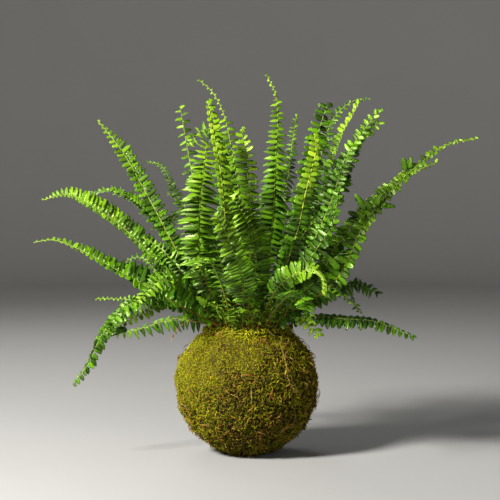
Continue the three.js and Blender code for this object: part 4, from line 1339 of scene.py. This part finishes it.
def shoot(name, radius, bend, twist):
    """A curly shoot about one unit long that sets out along +X. bend and twist are in radians."""
    heading = Vector((1, 0, 0))
    place = Vector((0, 0, 0))
    points, faces, along = [], [], []
    for i, swell in enumerate(SHOOT_SWELL):
        across = Vector((0, 1, 0)).cross(heading).normalized()
        over = heading.cross(across)
        for k in range(3):
            turn = 2 * math.pi * k / 3 + RING_TWIST * i
            points.append(place + radius * swell * (math.cos(turn) * across + math.sin(turn) * over))
            along.append(i * SHOOT_STEP)
        place = place + heading * SHOOT_STEP
        lean = Vector((0, math.sin(twist * i * SHOOT_STEP), -1))
        heading = (heading + lean * bend * SHOOT_STEP).normalized()
    points.append(place)
    along.append(1.0)
    faces.append((2, 1, 0))
    for i in range(len(SHOOT_SWELL) - 1):
        for k in range(3):
            a, b = 3 * i + k, 3 * i + (k + 1) % 3
            faces.append((a, b, b + 3, a + 3))
    last = 3 * (len(SHOOT_SWELL) - 1)
    faces += [(last + k, last + (k + 1) % 3, len(points) - 1) for k in range(3)]
    return mesh_object(name, points, [], faces, shoot=along)


# radius, bend and twist
SHOOT_KINDS = [(0.065, 2.2, 0.8), (0.06, 3.2, 1.9), (0.075, 1.5, -1.6), (0.065, 2.7, -0.9),
               (0.055, 3.6, 2.6), (0.07, 1.9, 3.2)]
shoots = bpy.data.collections.new("shoots")
for kind_index, kind in enumerate(SHOOT_KINDS):
    shoots.objects.link(shoot(f"shoot_{kind_index}", *kind))

# %% [markdown]
# ### The moss tree
# This tree scatters shoots over a skin. Each sets out partly outwards and partly sideways. The sideways
# part comes from a slow noise, so neighbours lean together and make tufts, and from chance. Shoots
# that would reach below the floor are pressed flat on it, as the ball's weight does.

# %% Moss tree
MOSS_INPUTS = [
    ("Geometry", GEOMETRY, None), ("Density", FLOAT, 10000.0), ("Length", FLOAT, 0.006),
    ("Length spread", FLOAT, 0.3), ("Stand", FLOAT, 0.6), ("Tuft lean", FLOAT, 0.8),
    ("Scatter", FLOAT, 0.6), ("Tuft size", FLOAT, 70.0), ("Floor", FLOAT, 0.0003),
    ("Lowest tint", FLOAT, 0.0), ("Seed", WHOLE, 0), ("Shoots", COLLECTION, None),
    ("Finish", MATERIAL, None)]
ROLL = 1.6           # how far a shoot may be rolled about its own length, in radians
TUFT_GAIN = 4.0      # brings the noise, which hardly strays from its middle, up to about one


def moss_tree():
    tree, given, result = new_group("moss", "GeometryNodeTree", MOSS_INPUTS, [("Geometry", GEOMETRY)])
    seed = out(given, "Seed")
    covered = maths(tree, "GREATER_THAN", stored(tree, "cover"), 0.5)
    scattered = add(tree, "GeometryNodeDistributePointsOnFaces", {
        "Mesh": out(given, "Geometry"), "Selection": covered, "Density": out(given, "Density"),
        "Seed": seed}, distribute_method="RANDOM")
    normal = out(scattered, "Normal")
    dots = store(tree, out(scattered, "Points"), "tint",
                 random_value(tree, out(given, "Lowest tint"), 1.0, seed))
    place = out(add(tree, "GeometryNodeInputPosition"))
    swirl = add(tree, "ShaderNodeTexNoise", {"Vector": place, "Scale": out(given, "Tuft size"),
                                             "Detail": 1.0})
    swirl = vectors(tree, "SUBTRACT", out(swirl, "Color"), (0.5, 0.5, 0.5))
    lean = vectors(tree, "SCALE", swirl, maths(tree, "MULTIPLY", out(given, "Tuft lean"), TUFT_GAIN))
    stray = random_value(tree, (-1, -1, -1), (1, 1, 1), seed, 7.0, "FLOAT_VECTOR")
    stray = vectors(tree, "SCALE", stray, out(given, "Scatter"))
    sideways = vectors(tree, "ADD", lean, stray)
    outward = vectors(tree, "SCALE", normal, vectors(tree, "DOT_PRODUCT", sideways, normal))
    sideways = vectors(tree, "SUBTRACT", sideways, outward)
    heading = vectors(tree, "ADD", sideways, vectors(tree, "SCALE", normal, out(given, "Stand")))
    roll = random_value(tree, (-ROLL, 0, 0), (ROLL, 0, 0), seed, 9.0, "FLOAT_VECTOR")
    turn = aimed(tree, heading, normal, roll)
    spread = out(given, "Length spread")
    vary = random_value(tree, maths(tree, "SUBTRACT", 1.0, spread), maths(tree, "ADD", 1.0, spread),
                        seed, 13.0)
    length = maths(tree, "MULTIPLY", maths(tree, "MULTIPLY", out(given, "Length"), vary),
                   stored(tree, "shag"))
    pick = random_value(tree, 0, len(SHOOT_KINDS) - 1, seed, 3.0, "INT")
    strands = copies(tree, dots, out(given, "Shoots"), pick, turn, length)
    real = out(add(tree, "GeometryNodeRealizeInstances", {"Geometry": strands}))
    parts = add(tree, "ShaderNodeSeparateXYZ", {"Vector": place})
    pressed = add(tree, "ShaderNodeCombineXYZ", {
        "X": out(parts, "X"), "Y": out(parts, "Y"),
        "Z": maths(tree, "MAXIMUM", out(parts, "Z"), out(given, "Floor"))})
    real = out(add(tree, "GeometryNodeSetPosition", {"Geometry": real, "Position": out(pressed)}))
    smooth = out(add(tree, "GeometryNodeSetShadeSmooth", {"Geometry": real}))
    fill(tree, result.inputs["Geometry"], painted(tree, smooth, out(given, "Finish")))
    return tree


MOSS_TREE = moss_tree()
print("moss tree nodes:", len(MOSS_TREE.nodes))

# %% Cover the ball
bed = moss_bed()
bed_mesh = bed.data
bpy.context.scene.collection.objects.link(bed)
bed_mesh.materials.append(BED_FINISH)
place_piece(bed, "moss", "moss_cover")
print("moss bed triangles:", triangles(bed))

MOSS_LAYERS = [
    # name, shoots per square metre, length in mm, spread, stand, tuft lean, scatter, lowest tint
    ("moss_undergrowth", 126000, 4.0, 0.3, 0.9, 0.5, 0.9, 0.0),
    ("moss_shoots", 160000, 4.8, 0.3, 0.6, 0.6, 0.9, 0.1),
    ("moss_top_shoots", 150000, 5.2, 0.4, 0.8, 0.6, 1.0, 0.3),
]
MOSS_SEED = 100
for number, (name, density, length, spread, stand, lean, scatter, tint) in enumerate(MOSS_LAYERS):
    skin = bpy.data.objects.new("moss_skin", bed_mesh.copy())
    piece = grown(name, skin, MOSS_TREE, {
        "Density": float(density), "Length": length * MM, "Length spread": spread, "Stand": stand,
        "Tuft lean": lean, "Scatter": scatter, "Lowest tint": tint, "Seed": MOSS_SEED + number,
        "Shoots": shoots, "Finish": SHOOT_FINISH})
    place_piece(piece, "moss", "moss_cover")
    print(name, "triangles:", triangles(piece))

# %% [markdown]
# ### The crown
# The fern's crown is a low dome of old scales and roots in the mouth of the ball. The moss has crept
# over nearly all of it, up to and between the stalks, so the same tree covers a copy of the dome.

# %% Crown moss
RIM_SHOWS = 4.0      # height of the crown's rim over the moss skin round it
RIM_OVERHANG = 1.5   # how far the last ring lies outside the crown
# The crown's shoots are too short for the painted hollow shade, so its moss is painted lighter in the
# fronds' shadow.
CROWN_SHAG = 0.7
CROWN_ROWS = 8
CROWN_ROUND = 36


def crown_skin():
    radii = [CROWN_RADIUS * row / CROWN_ROWS for row in range(1, CROWN_ROWS + 1)]
    profile = [(r, crown_z(r)) for r in radii]
    profile.append((CROWN_RADIUS + RIM_OVERHANG, CROWN_RIM_Z - RIM_SHOWS))
    points, faces = lathed(crown_z(0), profile, CROWN_ROUND)
    points = [(x * MM, y * MM, z * MM) for x, y, z in points]
    return mesh_object("crown_skin", points, [], faces, cover=[1.0] * len(points),
                       shag=[CROWN_SHAG] * len(points))


# Painted light: the crown's shoots are painted paler than the ball's, with a lowest tint of 0.5, to lift
# the shadow that the fronds cast on the crown.
crown_moss = grown("crown_moss", crown_skin(), MOSS_TREE, {
    "Density": 340000.0, "Length": 8.4 * MM, "Length spread": 0.4, "Stand": 0.9, "Tuft lean": 0.5,
    "Scatter": 0.9, "Lowest tint": 0.5, "Seed": 120, "Shoots": shoots, "Finish": SHOOT_FINISH})
place_piece(crown_moss, "moss", "moss_cover")
frame["nodes"]["crown"].data.materials[0] = BED_FINISH
print("crown moss triangles:", triangles(crown_moss))

# %% [markdown]
# ## Threads on the moss
# Thin dead things lie on the moss: a runner that has crept down the front at the right, a dried stalk
# that arches out at the left, stubs of old stalks round the crown, and red-brown needles and straw.
# Each is a thin tapering tube along a line, with smaller bits sprouting from some, so one tree makes
# them all. The line's attribute "tone" goes from red-brown, 0, to straw, 1.

# %% Thread tree
THREAD_INPUTS = [
    ("Geometry", GEOMETRY, None), ("Radius", FLOAT, 0.0004), ("Thin end", FLOAT, 0.4),
    ("Bit spacing", FLOAT, 0.004), ("Bit share", FLOAT, 0.0), ("Bit length", FLOAT, 0.004),
    ("Seed", WHOLE, 0), ("Bits", COLLECTION, None), ("Finish", MATERIAL, None)]
THREAD_SIDES = 5
KNOT_SCALE = 260.0
BIT_KINDS = 6        # both the moss shoots and the curled leaflets are a collection of six
BIT_ANGLES = [(-3.1, -1.2, -3.1), (3.1, 1.2, 3.1)]


def thread_tree():
    tree, given, result = new_group("thread", "GeometryNodeTree", THREAD_INPUTS, [("Geometry", GEOMETRY)])
    seed = out(given, "Seed")
    line = out(add(tree, "GeometryNodeMeshToCurve", {"Mesh": out(given, "Geometry")}))
    along = out(add(tree, "GeometryNodeSplineParameter"), "Factor")
    knots = noise_level(tree, out(add(tree, "GeometryNodeInputPosition")), KNOT_SCALE, 1.0)
    thick = maths(tree, "MULTIPLY", ramp(tree, along, 0.0, 1.0, 1.0, out(given, "Thin end")),
                  ramp(tree, knots, 0.3, 0.7, 0.7, 1.3))
    thread = tube(tree, line, THREAD_SIDES, maths(tree, "MULTIPLY", out(given, "Radius"), thick))
    dots = out(add(tree, "GeometryNodeResampleCurve", {"Curve": line, "Length": out(given, "Bit spacing")},
                   mode="LENGTH"))
    chosen = maths(tree, "LESS_THAN", random_value(tree, 0.0, 1.0, seed), out(given, "Bit share"))
    angles = random_value(tree, *BIT_ANGLES, seed, 3.0, "FLOAT_VECTOR")
    turn = out(add(tree, "FunctionNodeEulerToRotation", {"Euler": angles}))
    size = maths(tree, "MULTIPLY", out(given, "Bit length"), random_value(tree, 0.6, 1.4, seed, 5.0))
    pick = random_value(tree, 0, BIT_KINDS - 1, seed, 7.0, "INT")
    bits = copies(tree, dots, out(given, "Bits"), pick, turn, size, chosen)
    fill(tree, result.inputs["Geometry"], painted(tree, joined(tree, bits, thread), out(given, "Finish")))
    return tree


THREAD_TREE = thread_tree()
print("thread tree nodes:", len(THREAD_TREE.nodes))


# %% Thread finish
BLEACHED = (0.75, 0.55, 0.28, 1)
ROTTED = (0.03, 0.015, 0.006, 1)


def thread_material(name, red_brown, straw):
    material, tree, shader = new_material(name, 0.7, 0.2)
    tone = attribute(tree, "tone")
    colour = mix_colour(tree, tone, red_brown, straw)
    light = mix_colour(tree, 0.2, colour, BLEACHED)
    dark = mix_colour(tree, 0.6, colour, ROTTED)
    colour = effect(tree, TINT, {"Colour": colour, "Light colour": light, "Dark colour": dark, "Tint": 0.5,
                                 "Mottle size": 420.0, "Mottle": 0.5})
    tree.links.new(colour, shader.inputs["Base Color"])
    relief(tree, shader, 2200.0, 0.0002, 0.7)
    return material


DRY_FINISH = thread_material("dry thread", (0.30, 0.070, 0.016, 1), (0.46, 0.29, 0.09, 1))
RUNNER_FINISH = thread_material("runner skin", (0.12, 0.075, 0.010, 1), (0.36, 0.25, 0.04, 1))


def thread_line(name, threads):
    """Lines of edges from (tone, points in mm) pairs."""
    points, edges, tones = [], [], []
    for tone, route in threads:
        curve = smooth_route(route, 6)
        edges += [(len(points) + i, len(points) + i + 1) for i in range(len(curve) - 1)]
        points += [p * MM for p in curve]
        tones += [tone] * len(curve)
    return mesh_object(name, points, edges, [], tone=tones)


def ball_radius(z):
    """Radius of the moss outline at a height, in mm."""
    half_height = BALL_RISE if z > BALL_CENTRE_Z else BALL_DROP
    return BALL_RADIUS * math.sqrt(max(0.0, 1 - ((z - BALL_CENTRE_Z) / half_height) ** 2))


def on_front(x, z, lift):
    """A place on the front of the ball."""
    r = ball_radius(z) + lift
    return (x, -math.sqrt(max(0.0, r * r - x * x)), z)


# %% Runner and dried stalk
RUNNER_LIFT = 2.2
RUNNER_PATH = [(33, 116), (32, 108), (35, 99), (37, 90), (38, 80), (42, 72), (45, 66)]
DEAD_STALK_PATH = [(-37, -8, 124), (-48, -9, 128), (-60, -10, 126), (-68, -10, 118), (-73, -10, 108)]

runner = [(0.6, [on_front(x, z, RUNNER_LIFT) for x, z in RUNNER_PATH])]
piece = grown("creeping_runner", thread_line("runner_line", runner), THREAD_TREE, {
    "Radius": 0.36 * MM, "Thin end": 0.5, "Bit spacing": 2.6 * MM, "Bit share": 0.7, "Bit length": 5 * MM,
    "Seed": 5, "Bits": shoots, "Finish": RUNNER_FINISH})
place_piece(piece, "tendril", "runner")
print("creeping runner triangles:", triangles(piece))
piece = grown("dried_stalk", thread_line("dried_line", [(0.8, DEAD_STALK_PATH)]), THREAD_TREE, {
    "Radius": 0.34 * MM, "Thin end": 0.6, "Bit spacing": 6 * MM, "Bit share": 0.5, "Bit length": 2.4 * MM,
    "Seed": 9, "Bits": LEAFLETS["curled"], "Finish": DRY_FINISH})
place_piece(piece, "dead_stem", "dead_stalk")
print("dried stalk triangles:", triangles(piece))

# %% Stubs, needles and straw
LITTER_SEED = 21
STUBS = 34
NEEDLES = 60
pick = random.Random(LITTER_SEED)
litter = []
for _ in range(STUBS):                                  # stubs of old stalks, round the crown
    turn, r = pick.uniform(0, 2 * math.pi), pick.uniform(26, 39)
    tall, lean = pick.uniform(5, 15), pick.uniform(0.2, 1.0)
    root = (r * math.cos(turn), r * math.sin(turn), crown_z(r) - 1)
    top = (r + lean * tall) / r
    litter.append((pick.uniform(0.0, 0.55), [root, (root[0] * top, root[1] * top, root[2] + tall)]))
SEEN_BITS = [                                           # tone, then (x, z) of the ends, at the front
    (0.0, (22, 68), (26, 58)), (0.1, (31, 27), (46, 37)), (0.15, (1, 50), (8, 57)),
    (0.1, (5, 76), (10, 83)), (0.9, (60, 91), (65, 85)), (0.3, (-30, 119), (-24, 116)),
    (0.35, (-27, 121), (-22, 119)),
    (0.2, (24, 70), (19, 60)), (0.95, (-62, 52), (-56, 47)), (0.5, (10, 30), (18, 26)),
    (0.9, (-30, 117), (-22, 122)), (0.8, (-40, 122), (-35, 119)), (0.85, (20, 121), (27, 116)),
    (0.5, (38, 104), (35, 96)), (0.4, (40, 112), (33, 106)), (0.5, (36, 92), (42, 84))]
for tone, a, b in SEEN_BITS:
    middle = ((a[0] + b[0]) / 2 + pick.uniform(-1, 1), (a[1] + b[1]) / 2 + pick.uniform(-1, 1))
    litter.append((tone, [on_front(*a, 1.0), on_front(*middle, 2.4), on_front(*b, 1.2)]))
for _ in range(NEEDLES):                                # the rest, anywhere on the ball
    turn, z, long = pick.uniform(0, 2 * math.pi), pick.uniform(18, 122), pick.uniform(3, 7)
    slope = pick.uniform(-1, 1)
    route = []
    for step, lift in ((-1, 0.6), (0, 2.0), (1, 0.8)):
        height = z + step * long * slope
        r = ball_radius(height) + lift
        bearing = turn + step * long * (1 - abs(slope)) / BALL_RADIUS
        route.append((r * math.cos(bearing), r * math.sin(bearing), height))
    litter.append((pick.choice((0.0, 0.1, 0.3, 0.8)), route))
piece = grown("moss_litter", thread_line("litter_lines", litter), THREAD_TREE, {
    "Radius": 0.4 * MM, "Thin end": 0.5, "Bit share": 0.0, "Seed": 12, "Bits": shoots,
    "Finish": DRY_FINISH})
place_piece(piece, "dead_stem")
print("threads in the litter:", len(litter), "triangles:", triangles(piece))

# %% [markdown]
# ## The soil
# Under the moss is a ball of damp dark soil held together by roots. It is out of sight, so the frame's
# own solid is kept for it, with a mottled, crumbly finish.

# %% Soil
SOIL_COLOURS = {"Colour": (0.045, 0.026, 0.014, 1), "Light colour": (0.10, 0.065, 0.035, 1),
                "Dark colour": (0.016, 0.010, 0.006, 1)}


def soil_material():
    material, tree, shader = new_material("packed soil", 0.95, 0.1)
    colour = effect(tree, TINT, {**SOIL_COLOURS, "Tint": 0.5, "Mottle size": 160.0, "Mottle": 0.8})
    tree.links.new(colour, shader.inputs["Base Color"])
    relief(tree, shader, 350.0, 0.002, 1.0)
    return material


frame["nodes"]["soil_ball"].data.materials[0] = soil_material()
print("pieces:", len(PLACED), "triangles:", sum(triangles(piece) for piece in PLACED))
